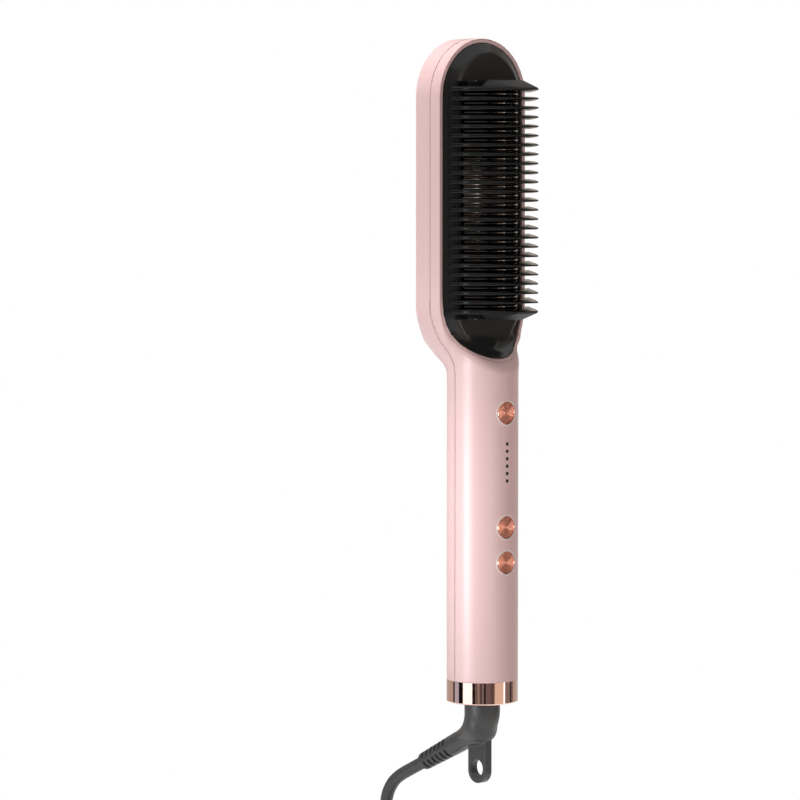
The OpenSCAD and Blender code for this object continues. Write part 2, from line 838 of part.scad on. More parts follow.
module contact_holder() {
    wall_out = bore_r - touch_gap;
    skirt_in = cap_r - skirt_wall;
    color("#e5e0d6")
    difference() {
        rotate_extrude() polygon([
            [skirt_in, holder_low], [cap_r, holder_low], [wall_out, holder_low + 1.5],
            [wall_out, holder_high], [0, holder_high], [0, holder_high - holder_t],
            [skirt_in, holder_high - holder_t]
        ]);
        for (x = [big_ring_r + spring_gap, -small_ring_r - spring_gap - spring_t])
            translate([x - 0.05, -spring_w / 2 - 0.05, holder_high - holder_t - over])
                cube([spring_t + 0.1, spring_w + 0.1, holder_t + 2 * over]);
    }
}

module contact_springs() {
    lengths = [
        [big_ring_r + spring_gap, big_ring_low],
        [-small_ring_r - spring_gap - spring_t, small_ring_low]
    ];
    color("#c8964a")
    for (leaf = lengths)
        translate([leaf[0], -spring_w / 2, leaf[1]])
            cube([spring_t, spring_w, holder_high + 0.3 - leaf[1]]);
}

// One button: a dished cap, a hidden flange and a stem down to the switch
module button_at(z) {
    r = button_d / 2;
    face_y = -handle_r + button_front;
    color("#b5654b")
    translate([0, 0, z]) rotate([-90, 0, 0]) rotate_extrude() polygon([
        [0, face_y + 0.3], [r - 0.5, face_y], [r, face_y + 0.4], [r, flange_front],
        [r + flange_over, flange_front], [r + flange_over, flange_front + flange_t],
        [stem_d / 2, flange_front + flange_t], [stem_d / 2, key_y], [0, key_y]
    ]);
}

module plunger_at(z) {
    color("#e9e4da")
    bar_y(plunger_d, key_y, board_y - 0.8 - button_travel - 0.2, 0, z);
}

module power_button() { button_at(power_z); }
module plus_button() { button_at(plus_z); }
module minus_button() { button_at(minus_z); }
module power_plunger() { plunger_at(power_z); }
module plus_plunger() { plunger_at(plus_z); }
module minus_plunger() { plunger_at(minus_z); }

module swivel_spindle() {
    color("#464646")
    rotate_extrude() polygon([
        [0, collar_top - peg_len], [peg_r, collar_top - peg_len], [peg_r, collar_top],
        [spindle_r, collar_top], [spindle_r, clip_low], [neck_r, clip_low],
        [neck_r, clip_low + clip_t], [spindle_r, clip_low + clip_t], [spindle_r, spindle_mid],
        [core_r, spindle_mid], [core_r, small_ring_low - 0.6],
        [thin_core_r, small_ring_low - 0.6], [thin_core_r, spindle_high], [0, spindle_high]
    ]);
}

module spindle_clip() {
    color("#a8abb0")
    difference() {
        translate([0, 0, clip_low + 0.05]) cylinder(r = spindle_r + 2.2, h = clip_t - 0.1);
        translate([0, 0, clip_low - over]) cylinder(r = neck_r + run_gap, h = clip_t + 2 * over);
        translate([-neck_r * 0.8, 0, clip_low - over])
            cube([neck_r * 1.6, spindle_r + 4, clip_t + 2 * over]);
    }
}

module slip_rings() {
    color("#c9a24e") {
        difference() {
            translate([0, 0, big_ring_low]) cylinder(r = big_ring_r, h = slip_ring_h);
            translate([0, 0, big_ring_low - over])
                cylinder(r = core_r + run_gap, h = slip_ring_h + 2 * over);
        }
        difference() {
            translate([0, 0, small_ring_low]) cylinder(r = small_ring_r, h = slip_ring_h);
            translate([0, 0, small_ring_low - over])
                cylinder(r = thin_core_r + run_gap, h = slip_ring_h + 2 * over);
        }
    }
}

// Puts a thing on the axis of the cord guard, with Z along it from the elbow
module on_boot() {
    tilt = acos(boot_dir[2]);
    translate([0, 0, elbow_z]) rotate([0, tilt, 90]) children();
}

module cord_guard() {
    mid_d = boot_end_d + (boot_root_d - boot_end_d) * 0.7;
    mid_at = slot_start - 3;
    bulb = [for (i = [0 : bulb_steps]) let(a = 90 * i / bulb_steps)
        [collar_r * cos(a), bulb_top - bulb_h * sin(a)]];
    color("#505050")
    difference() {
        union() {
            rotate_extrude() polygon(concat([[0, collar_top], [collar_r, collar_top]], bulb));
            on_boot() {
                cylinder(d1 = boot_root_d, d2 = mid_d, h = mid_at);
                translate([0, 0, mid_at])
                    cylinder(d1 = mid_d, d2 = boot_end_d, h = boot_len - 1 - mid_at);
                translate([0, 0, boot_len - 1])
                    cylinder(d1 = boot_end_d, d2 = boot_end_d - 1.2, h = 1);
            }
            from_side(tab_t) {
                translate([tab_y, tab_round_z]) circle(d = tab_w);
                translate([tab_y - tab_w / 2, tab_round_z])
                    square([tab_w, elbow_z + 2 - tab_round_z]);
            }
        }
        translate([0, 0, collar_top - peg_len - 0.2])
            cylinder(r = peg_r + touch_gap, h = peg_len + over);
        translate([-tab_t, tab_y, loop_z]) rotate([0, 90, 0]) cylinder(d = loop_d, h = 2 * tab_t);
        on_boot()
            for (i = [0 : slot_count - 1], quarter = [0 : 3])
                rotate([0, 0, 45 + 90 * quarter])
                    translate([boot_end_d * 0.41, -boot_root_d / 2, slot_start + i * slot_pitch - slot_w / 2])
                        cube([boot_root_d, boot_root_d, slot_w]);
    }
}

// Sweeps a round tube along points that lie nearly in a plane across X, with its two
// end faces square to the given directions
down = [0, 0, -1];
module tube(points, d, sides, start, finish) {
    last = len(points) - 1;
    rings = [for (i = [0 : last])
        let(
            along = i == 0 ? start : i == last ? finish : points[i + 1] - points[i - 1],
            t = along / norm(along),
            out = cross([1, 0, 0], t),
            b = out / norm(out),
            n = cross(t, b)
        )
        for (k = [0 : sides - 1])
            points[i] + d / 2 * (cos(360 * k / sides) * b + sin(360 * k / sides) * n)
    ];
    walls = [for (i = [0 : last - 1], k = [0 : sides - 1])
        let(a = i * sides + k, b = i * sides + (k + 1) % sides)
        each [[a, b, b + sides], [a, b + sides, a + sides]]];
    caps = [for (k = [1 : sides - 2])
        each [[0, k + 1, k], [last * sides, last * sides + k, last * sides + k + 1]]];
    polyhedron(rings, concat(walls, caps));
}

module cord_lead() { color("#4c4c4c") tube(lead_points, cord_d, 10, boot_dir, down); }

// A point of the hank's one long cord, by the number of turns wound so far
function hank_point(u) =
    let(
        r = hank_inner_r + hank_step * abs(u - hank_mid),
        climb = min(max((u - hank_mid) / 0.25 + 0.5, 0), 1),
        x = hank_x * cos(180 * climb),
        phase = 4 * (u - floor(u)),
        side = phase < 2 ? 1 : -1,
        part = phase - 2 * floor(phase / 2),
        half = hank_run / 2,
        along = half * (1 - 2 * part),
        waist = hank_waist * half_wave((waist_far - abs(along) / half) / (waist_far - waist_near))
    )
    part < 1
    ? [x, hank_y + side * (r - waist), hank_z + side * along]
    : [x, hank_y + side * r * cos(180 * (part - 1)),
        hank_z - side * (half + r * sin(180 * (part - 1)))];

// The numbers of turns at which the cord gets a ring: 5 along a run, where the waist
// begins and ends, and 7 round a fold
run_parts = [
    0, (1 - waist_far) / 2, (1 - waist_near) / 2, (1 + waist_near) / 2, (1 + waist_far) / 2
];
fold_parts = [for (i = [0 : 6]) i / 7];
hank_turns = [
    for (q = [0 : hank_quarters - 1]) for (part = q % 2 == 0 ? run_parts : fold_parts)
        (q + part) / 4,
    hank_quarters / 4
];

// The least gap between two stretches of the cord that are half a turn or more apart
hank_samples = [for (q = [0 : hank_quarters * 12]) q / 48];
hank_gap = min([
    for (a = hank_samples) for (b = hank_samples) if (b - a > 0.45)
        norm(hank_point(a) - hank_point(b))
]) - cord_d;
echo(least_gap_in_the_hank_mm = hank_gap);

module cord_hank() {
    color("#4c4c4c") tube([for (u = hank_turns) hank_point(u)], cord_d, 6, down, down);
}

module cord_tie() {
    room = cord_d / 2 + free_gap;
    right = hank_inner_r + hank_step * (hank_mid - 0.125) - hank_waist + 0.4;
    left = right - hank_step / 2;
    module loop_plan(grow) {
        r = room + grow;
        for (x = [-hank_x, hank_x], y = [-left, right])
            translate([x, hank_y + y]) circle(r);
        translate([-hank_x - r, hank_y - left]) square([2 * (hank_x + r), left + right]);
        translate([-hank_x, hank_y - left - r]) square([2 * hank_x, left + right + 2 * r]);
    }
    color("#3a3a3a")
    from_above(hank_z - tie_h / 2, hank_z + tie_h / 2) difference() {
        loop_plan(tie_t);
        loop_plan(0);
    }
}

module cord_tail() { color("#4c4c4c") tube(tail_points, cord_d, 10, down, down); }

module plug_body() {
    low = plug_top - relief_len - plug_len;
    color("#4a4a4a") {
        translate([plug_x, plug_y, plug_top - relief_len])
            cylinder(d1 = relief_d + 1, d2 = cord_d + 1.4, h = relief_len);
        translate([plug_x, 0, 0])
            from_front(plug_y - plug_t / 2, plug_y + plug_t / 2) polygon([
                [-plug_w / 2 + 1, low], [plug_w / 2 - 1, low], [plug_w / 2, low + 1],
                [plug_w / 2, low + 12], [7.5, low + plug_len - 2], [6, low + plug_len],
                [-6, low + plug_len], [-7.5, low + plug_len - 2], [-plug_w / 2, low + 12],
                [-plug_w / 2, low + 1]
            ]);
    }
}

module plug_pins() {
    top = plug_top - relief_len - plug_len;
    tip = 1;
    color("#c9b27a")
    for (x = [-pin_spacing / 2, pin_spacing / 2])
        translate([plug_x + x, plug_y, top - pin_len]) {
            cylinder(d1 = pin_d - 1.6, d2 = pin_d, h = tip);
            translate([0, 0, tip]) cylinder(d = pin_d, h = pin_len - tip);
        }
}

rear_shell();
front_shell();
bezel();
comb();
heater_plate();
heating_element();
insulating_sheet();
heater_clamp();
clamp_screws();
comb_screws();
housing_screws();
thermal_fuse();
temperature_sensor();
back_frame();
back_panel();
control_board();
board_screws();
power_parts();
key_switches();
lamps();
light_guide();
heater_wires();
supply_wires();
end_ring();
end_cap();
contact_holder();
contact_springs();
power_button();
power_plunger();
plus_button();
plus_plunger();
minus_button();
minus_plunger();
swivel_spindle();
spindle_clip();
slip_rings();
cord_guard();
cord_lead();
cord_hank();
cord_tie();
cord_tail();
plug_body();
plug_pins();
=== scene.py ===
"""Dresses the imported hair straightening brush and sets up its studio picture.

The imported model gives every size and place. Lengths in the classes are in
millimetres unless a name says otherwise; MM turns them into Blender's metres.
"""

from __future__ import annotations

import logging
import math
from dataclasses import dataclass, field
from enum import Enum
from typing import Callable, Sequence

import bmesh
import bpy
import numpy as np
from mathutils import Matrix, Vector

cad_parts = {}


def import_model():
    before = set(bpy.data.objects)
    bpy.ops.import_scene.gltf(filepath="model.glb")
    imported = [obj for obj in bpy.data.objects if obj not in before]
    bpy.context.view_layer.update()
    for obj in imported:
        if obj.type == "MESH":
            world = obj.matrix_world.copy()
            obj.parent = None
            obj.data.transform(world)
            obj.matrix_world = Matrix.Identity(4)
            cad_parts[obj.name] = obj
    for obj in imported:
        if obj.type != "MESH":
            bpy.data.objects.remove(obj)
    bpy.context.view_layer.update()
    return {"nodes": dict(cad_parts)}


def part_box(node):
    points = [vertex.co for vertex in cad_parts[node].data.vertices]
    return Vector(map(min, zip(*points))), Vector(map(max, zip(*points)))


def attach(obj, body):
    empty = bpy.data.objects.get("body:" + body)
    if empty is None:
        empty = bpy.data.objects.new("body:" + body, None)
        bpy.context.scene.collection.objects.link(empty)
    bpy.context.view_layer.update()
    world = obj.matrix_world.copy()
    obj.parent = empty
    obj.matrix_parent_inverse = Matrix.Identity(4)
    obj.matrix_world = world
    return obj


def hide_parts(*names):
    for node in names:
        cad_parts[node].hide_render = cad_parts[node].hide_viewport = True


LOG = logging.getLogger("brush")
MM = 0.001
Object = bpy.types.Object
Material = bpy.types.Material
Socket = bpy.types.NodeSocket
Array = np.ndarray
Field = Callable[[Array, Array, Array], Array]
Colour = tuple[float, float, float, float]
Spot = tuple[float, float, float]
WHITE: Colour = (1.0, 1.0, 1.0, 1.0)
SHARP_DEG = 40.0
MERGE_MM = 0.001


class Body(Enum):
    """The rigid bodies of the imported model."""

    BRUSH = "brush"
    SWIVEL = "swivel"
    POWER = "power_key"
    PLUS = "plus_key"
    MINUS = "minus_key"


# Node trees


def hexa(code: str) -> Colour:
    """Returns the linear colour of a six-digit screen colour."""
    parts = [int(code[i : i + 2], 16) / 255 for i in (0, 2, 4)]
    return (*(p / 12.92 if p <= 0.04045 else ((p + 0.055) / 1.055) ** 2.4 for p in parts), 1.0)


class Graph:
    """A node tree with short ways to add nodes and to link them."""

    def __init__(self, tree: bpy.types.NodeTree) -> None:
        """Takes the tree to add to."""
        self.tree = tree

    def set(self, node: bpy.types.Node, inputs: dict[str | int, object]) -> None:
        """Sets a node's inputs.

        Args:
            node: the node.
            inputs: each input by name or number, as a value or as a socket to link.
        """
        for key, value in inputs.items():
            if isinstance(value, Socket):
                self.tree.links.new(value, node.inputs[key])
            else:
                node.inputs[key].default_value = value

    def add(
        self, kind: str, inputs: dict[str | int, object] | None = None, **settings: object
    ) -> bpy.types.Node:
        """Adds a node.

        Args:
            kind: its type.
            inputs: its inputs, as for set.
            settings: its properties, which are set before its inputs.

        Returns:
            The new node.
        """
        node = self.tree.nodes.new(kind)
        for key, value in settings.items():
            setattr(node, key, value)
        self.set(node, inputs or {})
        return node

    def math(self, operation: str, *values: Socket | float, clamp: bool = False) -> Socket:
        """Returns the result of a Math node on numbers or sockets."""
        inputs, settings = dict(enumerate(values)), {"operation": operation, "use_clamp": clamp}
        return self.add("ShaderNodeMath", inputs, **settings).outputs[0]

    def place(self) -> Socket:
        """Returns the place in the frame."""
        return self.add("ShaderNodeTexCoord").outputs["Object"]

    def noise(self, vector: Socket, scale: Socket | float, detail: float) -> Socket:
        """Returns a soft noise between 0 and 1."""
        inputs = {"Vector": vector, "Scale": scale, "Detail": detail}
        return self.add("ShaderNodeTexNoise", inputs).outputs["Fac"]

    def round_y(self) -> Socket:
        """Returns the direction that runs round the Y axis."""
        return self.add("ShaderNodeTangent", direction_type="RADIAL", axis="Y").outputs[0]

    def mix(self, one: Socket | Colour, two: Socket | Colour, mask: Socket) -> Socket:
        """Returns the colour between two colours that a mask picks."""
        inputs = {"A": one, "B": two, "Factor": mask}
        return self.add("ShaderNodeMix", inputs, data_type="RGBA").outputs["Result"]

    def steps(self, stops: Sequence[tuple[float, Colour]], value: Socket) -> Socket:
        """Returns a colour that changes in steps.

        Args:
            stops: where each colour starts, from 0 to 1, and the colour.
            value: the number that picks among them.
        """
        ramp = self.add("ShaderNodeValToRGB", {"Fac": value})
        ramp.color_ramp.interpolation = "CONSTANT"
        marks = ramp.color_ramp.elements
        while len(marks) < len(stops):
            marks.new(1.0)
        for mark, (spot, colour) in zip(marks, stops):
            mark.position = spot
            mark.color = colour
        return ramp.outputs["Color"]


def new_material(name: str) -> tuple[Material, Graph, bpy.types.Node]:
    """Starts a material.

    Args:
        name: its name.

    Returns:
        The material, its graph and its Principled shader.
    """
    material = bpy.data.materials.new(name)
    material.use_nodes = True
    return material, Graph(material.node_tree), material.node_tree.nodes["Principled BSDF"]


# Shapes as distance fields


def half_wave(t: Array | float) -> Array:
    """Returns a smooth rise from 0 to 1 while t goes from 0 to 1."""
    return (1 - np.cos(np.pi * np.clip(t, 0, 1))) / 2


def soft_max(a: Array, b: Array, radius: float) -> Array:
    """Returns the larger of two fields with the corner between them rounded off.

    Args:
        a: first field.
        b: second field.
        radius: radius of the rounded edge.
    """
    joined = np.hypot(np.maximum(a + radius, 0), np.maximum(b + radius, 0))
    return np.minimum(np.maximum(a, b) + radius, 0) + joined - radius


def soft_min(a: Array, b: Array, radius: float) -> Array:
    """Returns the smaller of two fields, with a fillet of the given radius."""
    return -soft_max(-a, -b, radius)


def slab(v: Array, low: float | Array, high: float | Array) -> Array:
    """Returns the field of the space between two parallel faces."""
    return np.maximum(low - v, v - high)


def rod(x: Array, y: Array, z: Array, start: Sequence[float], end: Sequence[float]) -> tuple:
    """Measures points against an axis.

    Args:
        x: first coordinates.
        y: second coordinates.
        z: third coordinates.
        start: one end of the axis.
        end: the other end of the axis.

    Returns:
        The distance from the axis and the place along it, from 0 at its start.
    """
    way = np.subtract(end, start)
    way = way / np.linalg.norm(way)
    dx, dy, dz = x - start[0], y - start[1], z - start[2]
    along = dx * way[0] + dy * way[1] + dz * way[2]
    away = np.sqrt(np.maximum(dx**2 + dy**2 + dz**2 - along**2, 0))
    return away, along


# Mesh making


def add_object(name: str, data: bpy.types.ID) -> Object:
    """Adds an object that holds the data to the scene."""
    thing = bpy.data.objects.new(name, data)
    bpy.context.scene.collection.objects.link(thing)
    return thing


def new_piece(
    name: str,
    points: Array,
    faces: Sequence[Sequence[int]],
    sharp: float | None = SHARP_DEG,
    closed: bool = True,
) -> Object:
    """Makes a mesh object from points in millimetres.

    Args:
        name: name of the piece.
        points: its points, in millimetres in the frame.
        faces: the point numbers of each face.
        sharp: angle in degrees past which an edge stays sharp, or None for all smooth.
        closed: whether it is a closed shell, whose faces are turned outwards.

    Returns:
        The new object, linked to the scene.
    """
    mesh = bpy.data.meshes.new(name)
    mesh.from_pydata((np.asarray(points) * MM).tolist(), [], [list(f) for f in faces])
    mesh.update()
    mesh.shade_smooth()
    if sharp is not None:
        mesh.set_sharp_from_angle(angle=math.radians(sharp))
    if closed:
        shell = bmesh.new()
        shell.from_mesh(mesh)
        bmesh.ops.remove_doubles(shell, verts=shell.verts, dist=MERGE_MM * MM)
        bmesh.ops.recalc_face_normals(shell, faces=shell.faces)
        shell.to_mesh(mesh)
        shell.free()
    return add_object(name, mesh)


def ring_faces(rings: int, count: int, closed: bool = False) -> list[list[int]]:
    """Returns the faces that join neighbouring rings of points.

    Args:
        rings: number of rings.
        count: number of points in each.
        closed: whether the last ring joins the first.
    """
    faces = []
    for row in range(rings if closed else rings - 1):
        here, ahead = row * count, (row + 1) % rings * count
        for k in range(count):
            m = (k + 1) % count
            faces.append([here + k, here + m, ahead + m, ahead + k])
    return faces


def tube(name: str, rings: Array, sharp: float = 50.0) -> Object:
    """Makes a closed loop from rings of points, each a closed section.

    Args:
        name: name of the piece.
        rings: the points, as ring, point in the ring and coordinate.
        sharp: angle in degrees past which an edge stays sharp.

    Returns:
        The new object.
    """
    faces = ring_faces(*rings.shape[:2], closed=True)
    return new_piece(name, rings.reshape(-1, 3), faces, sharp)


def stack(name: str, rings: Array) -> Object:
    """Makes a closed piece from rings of points, with a flat face at each end.

    Args:
        name: name of the piece.
        rings: the points, as ring, point in the ring and coordinate.

    Returns:
        The new object.
    """
    total, count = rings.shape[:2]
    faces = ring_faces(total, count)
    faces.append(list(range(count))[::-1])
    faces.append([(total - 1) * count + k for k in range(count)])
    return new_piece(name, rings.reshape(-1, 3), faces)


def hulls(name: str, groups: Sequence[Sequence[Spot]]) -> Object:
    """Makes one piece of several convex bodies.

    Args:
        name: name of the piece.
        groups: the points of each body, in millimetres.

    Returns:
        The new object.
    """
    mesh = bmesh.new()
    for group in groups:
        corners = [mesh.verts.new(Vector(p) * MM) for p in group]
        bmesh.ops.convex_hull(mesh, input=corners)
    loose = [v for v in mesh.verts if not v.link_faces]
    bmesh.ops.delete(mesh, geom=loose, context="VERTS")
    bmesh.ops.dissolve_limit(
        mesh, angle_limit=math.radians(1), verts=mesh.verts, edges=mesh.edges
    )
    bmesh.ops.recalc_face_normals(mesh, faces=mesh.faces)
    data = bpy.data.meshes.new(name)
    mesh.to_mesh(data)
    mesh.free()
    return add_object(name, data)


def both_sides(half: Sequence[tuple]) -> list[tuple]:
    """Returns points with their mirror images over x, which follow in the same order."""
    return [(m * x, *rest) for m in (1, -1) for x, *rest in half]


def slope_of(shape: Field, points: Array) -> Array:
    """Returns the gradient of a field at each point, by small steps."""
    step = 0.01
    out = np.empty_like(points)
    for axis in range(3):
        ahead, behind = points.copy(), points.copy()
        ahead[:, axis] += step
        behind[:, axis] -= step
        out[:, axis] = (shape(*ahead.T) - shape(*behind.T)) / (2 * step)
    return out


def skin(
    name: str, shape: Field, low: Sequence[float], high: Sequence[float], cell: float
) -> Object:
    """Makes the mesh of the surface where a distance field is zero.

    Args:
        name: name of the piece.
        shape: the field, below zero inside the piece.
        low: lowest corner of the space to look in, in millimetres.
        high: highest corner of that space.
        cell: size of the grid's cells.

    Returns:
        The new object, smooth shaded with the field's own normals.
    """
    lows = np.asarray(low, float) - 2.5 * cell
    ranges = [np.arange(lows[a], high[a] + 3 * cell, cell) for a in range(3)]
    values = shape(*np.meshgrid(*ranges, indexing="ij"))
    inside = values < 0
    ids, crossings, quads = [], [], []
    for axis in range(3):
        first = tuple(slice(0, -1) if a == axis else slice(None) for a in range(3))
        last = tuple(slice(1, None) if a == axis else slice(None) for a in range(3))
        hits = np.argwhere(inside[first] != inside[last])
        before = values[first][tuple(hits.T)]
        after = values[last][tuple(hits.T)]
        places = hits.astype(float)
        places[:, axis] += before / (before - after)
        ring = []
        for du, dw in ((0, 0), (1, 0), (1, 1), (0, 1)):
            cells = hits.copy()
            cells[:, (axis + 1) % 3] -= du
            cells[:, (axis + 2) % 3] -= dw
            ring.append(np.ravel_multi_index(cells.T, values.shape))
            crossings.append(places)
        around = np.stack(ring, axis=1)
        around[before > 0] = around[before > 0][:, ::-1]
        ids.extend(ring)
        quads.append(around)
    numbers, where = np.unique(np.concatenate(ids), return_inverse=True)
    places = np.concatenate(crossings)
    count = np.bincount(where)
    points = np.stack([np.bincount(where, places[:, a]) / count for a in range(3)], axis=1)
    points = lows + points * cell
    for _ in range(3):
        slope = slope_of(shape, points)
        size = np.maximum((slope**2).sum(axis=1), 0.1)
        move = shape(*points.T) / size
        points -= np.clip(move, -cell / 2, cell / 2)[:, None] * slope
    faces = np.searchsorted(numbers, np.concatenate(quads))
    piece = new_piece(name, points, faces, sharp=None, closed=False)
    slope = slope_of(shape, points)
    slope /= np.maximum(np.linalg.norm(slope, axis=1), 1e-6)[:, None]
    piece.data.normals_split_custom_set_from_vertices(slope.tolist())
    return piece


def lathe(
    name: str,
    profile: Sequence[tuple[float, float]],
    turns: int,
    at: Spot = (0.0, 0.0, 0.0),
    along_y: bool = False,
    **look: float | bool,
) -> Object:
    """Turns a profile about an axis.

    Args:
        name: name of the piece.
        profile: distances from the axis and places along it.
        turns: number of points in a full turn.
        at: the point from which those places are measured.
        along_y: whether the axis runs along Y instead of Z.
        look: sharp or closed, as for new_piece.

    Returns:
        The new object, with single points where the profile meets the axis.
    """
    points: list[Spot] = []
    rings: list[list[int]] = []
    for r, h in profile:
        count = 1 if r < 1e-6 else turns
        rings.append([len(points) + k for k in range(count)])
        for k in range(count):
            a = 2 * math.pi * k / turns
            x, y = r * math.cos(a), r * math.sin(a)
            points.append((x, h, y) if along_y else (x, y, h))
    faces = []
    for one, two in zip(rings, rings[1:]):
        for k in range(turns):
            m = (k + 1) % turns
            face = [one[k % len(one)], one[m % len(one)], two[m % len(two)], two[k % len(two)]]
            face = list(dict.fromkeys(face))
            if len(face) > 2:
                faces.append(face)
    return new_piece(name, np.array(points) + at, faces, **look)


def as_plain_mesh(piece: Object) -> None:
    """Applies a piece's modifiers, so that it is a plain mesh."""
    depsgraph = bpy.context.evaluated_depsgraph_get()
    result = bpy.data.meshes.new_from_object(piece.evaluated_get(depsgraph))
    piece.modifiers.clear()
    piece.data = result
    result.shade_smooth()
    result.set_sharp_from_angle(angle=math.radians(SHARP_DEG))


def round_edges(piece: Object, width: float, segments: int) -> None:
    """Rounds the edges of a piece and leaves it a plain mesh.

    Args:
        piece: the object.
        width: width of the rounding in millimetres.
        segments: number of faces across it.
    """
    bevel = piece.modifiers.new("edge", "BEVEL")
    bevel.width = width * MM
    bevel.segments = segments
    bevel.limit_method = "ANGLE"
    bevel.angle_limit = math.radians(25)
    as_plain_mesh(piece)


def flat_box(name: str, low: Sequence[float], high: Sequence[float]) -> Object:
    """Makes a block with slightly rounded edges.

    Args:
        name: name of the piece.
        low: lowest corner in millimetres.
        high: highest corner.

    Returns:
        The new object.
    """
    x, y, z = zip(low, high)
    corners = [(x[i], y[j], z[k]) for i in (0, 1) for j in (0, 1) for k in (0, 1)]
    faces = [[0, 1, 3, 2], [4, 6, 7, 5], [0, 4, 5, 1], [2, 3, 7, 6], [0, 2, 6, 4], [1, 5, 7, 3]]
    piece = new_piece(name, np.array(corners), faces)
    round_edges(piece, 0.3, 2)
    return piece


@dataclass
class Repeat:
    """A Geometry Nodes tree that sets copies of one unit along a straight line."""

    name: str
    unit: Object
    start: tuple[float, float, float]
    step: tuple[float, float, float]
    count: int

    def _tree(self, material: Material) -> tuple[bpy.types.NodeTree, dict[str, str]]:
        """Builds the tree.

        Args:
            material: the material that the copies get.

        Returns:
            The tree, and the identifier of each named input.
        """
        tree = bpy.data.node_groups.new(f"repeat_{self.name}", "GeometryNodeTree")
        kinds = {"Geometry": "Geometry", "Unit": "Object", "Count": "Int", "Start": "Vector",
                 "Step": "Vector"}
        names = {
            key: tree.interface.new_socket(
                key, in_out="INPUT", socket_type=f"NodeSocket{kind}"
            ).identifier
            for key, kind in kinds.items()
        }
        tree.interface.new_socket("Geometry", in_out="OUTPUT", socket_type="NodeSocketGeometry")
        graph = Graph(tree)
        given = graph.add("NodeGroupInput").outputs
        spots = {
            "Count": given["Count"], "Start Location": given["Start"], "Offset": given["Step"]
        }
        line = graph.add("GeometryNodeMeshLine", spots)
        unit = graph.add("GeometryNodeObjectInfo", {"Object": given["Unit"]})
        row = graph.add(
            "GeometryNodeInstanceOnPoints",
            {"Points": line.outputs["Mesh"], "Instance": unit.outputs["Geometry"]},
        )
        real = graph.add("GeometryNodeRealizeInstances", {"Geometry": row.outputs["Instances"]})
        paint = graph.add(
            "GeometryNodeSetMaterial",
            {"Geometry": real.outputs["Geometry"], "Material": material},
        )
        graph.add("NodeGroupOutput", {"Geometry": paint.outputs["Geometry"]})
        return tree, names

    def make(self, material: Material) -> Object:
        """Builds the row of copies as a plain mesh and removes the unit.

        Args:
            material: the material of the copies.

        Returns:
            The finished piece.
        """
        tree, names = self._tree(material)
        piece = bpy.data.objects.new(self.name, bpy.data.meshes.new(self.name))
        modifier = piece.modifiers.new("repeat", "NODES")
        modifier.node_group = tree
        modifier[names["Unit"]] = self.unit
        modifier[names["Count"]] = self.count
        modifier[names["Start"]] = tuple(v * MM for v in self.start)
        modifier[names["Step"]] = tuple(v * MM for v in self.step)
        bpy.context.scene.collection.objects.link(piece)
        as_plain_mesh(piece)
        bpy.data.objects.remove(self.unit)
        return piece


# Finishes


class Effects:
    """Node groups that several finishes share, each built once."""

    def __init__(self) -> None:
        """Builds the groups."""
        self.grain = self._grain()
        self.mottle = self._mottle()

    @staticmethod
    def _group(name: str, inputs: dict[str, float], outputs: Sequence[str]) -> tuple:
        """Starts a shader node group.

        Args:
            name: name of the group.
            inputs: names of the inputs with their defaults.
            outputs: names of the outputs.

        Returns:
            The group's graph and the sockets of its inputs.
        """
        group = bpy.data.node_groups.new(name, "ShaderNodeTree")
        number = "NodeSocketFloat"
        for key, value in inputs.items():
            socket = group.interface.new_socket(key, in_out="INPUT", socket_type=number)
            socket.default_value = value
        for key in outputs:
            group.interface.new_socket(key, in_out="OUTPUT", socket_type=number)
        graph = Graph(group)
        return graph, graph.add("NodeGroupInput").outputs

    def _grain(self) -> bpy.types.NodeTree:
        """Builds the fine relief of a moulded surface, with a matching roughness."""
        graph, given = self._group(
            "moulded_grain",
            {"Scale": 900.0, "Roughness": 0.4, "Spread": 0.05},
            ("Height", "Roughness"),
        )
        height = graph.noise(graph.place(), given["Scale"], 3)
        centred = graph.math("SUBTRACT", height, 0.5)
        rough = graph.math("MULTIPLY_ADD", centred, given["Spread"], given["Roughness"])
        graph.add("NodeGroupOutput", {"Height": height, "Roughness": rough})
        return graph.tree

    def _mottle(self) -> bpy.types.NodeTree:
        """Builds a faint cloudiness that shifts between 0 and 1 over the surface."""
        graph, given = self._group("faint_mottle", {"Scale": 40.0, "Contrast": 1.0}, ("Mask",))
        cloud = graph.noise(graph.place(), given["Scale"], 4)
        mask = graph.math("MULTIPLY", cloud, given["Contrast"], clamp=True)
        graph.add("NodeGroupOutput", {"Mask": mask})
        return graph.tree


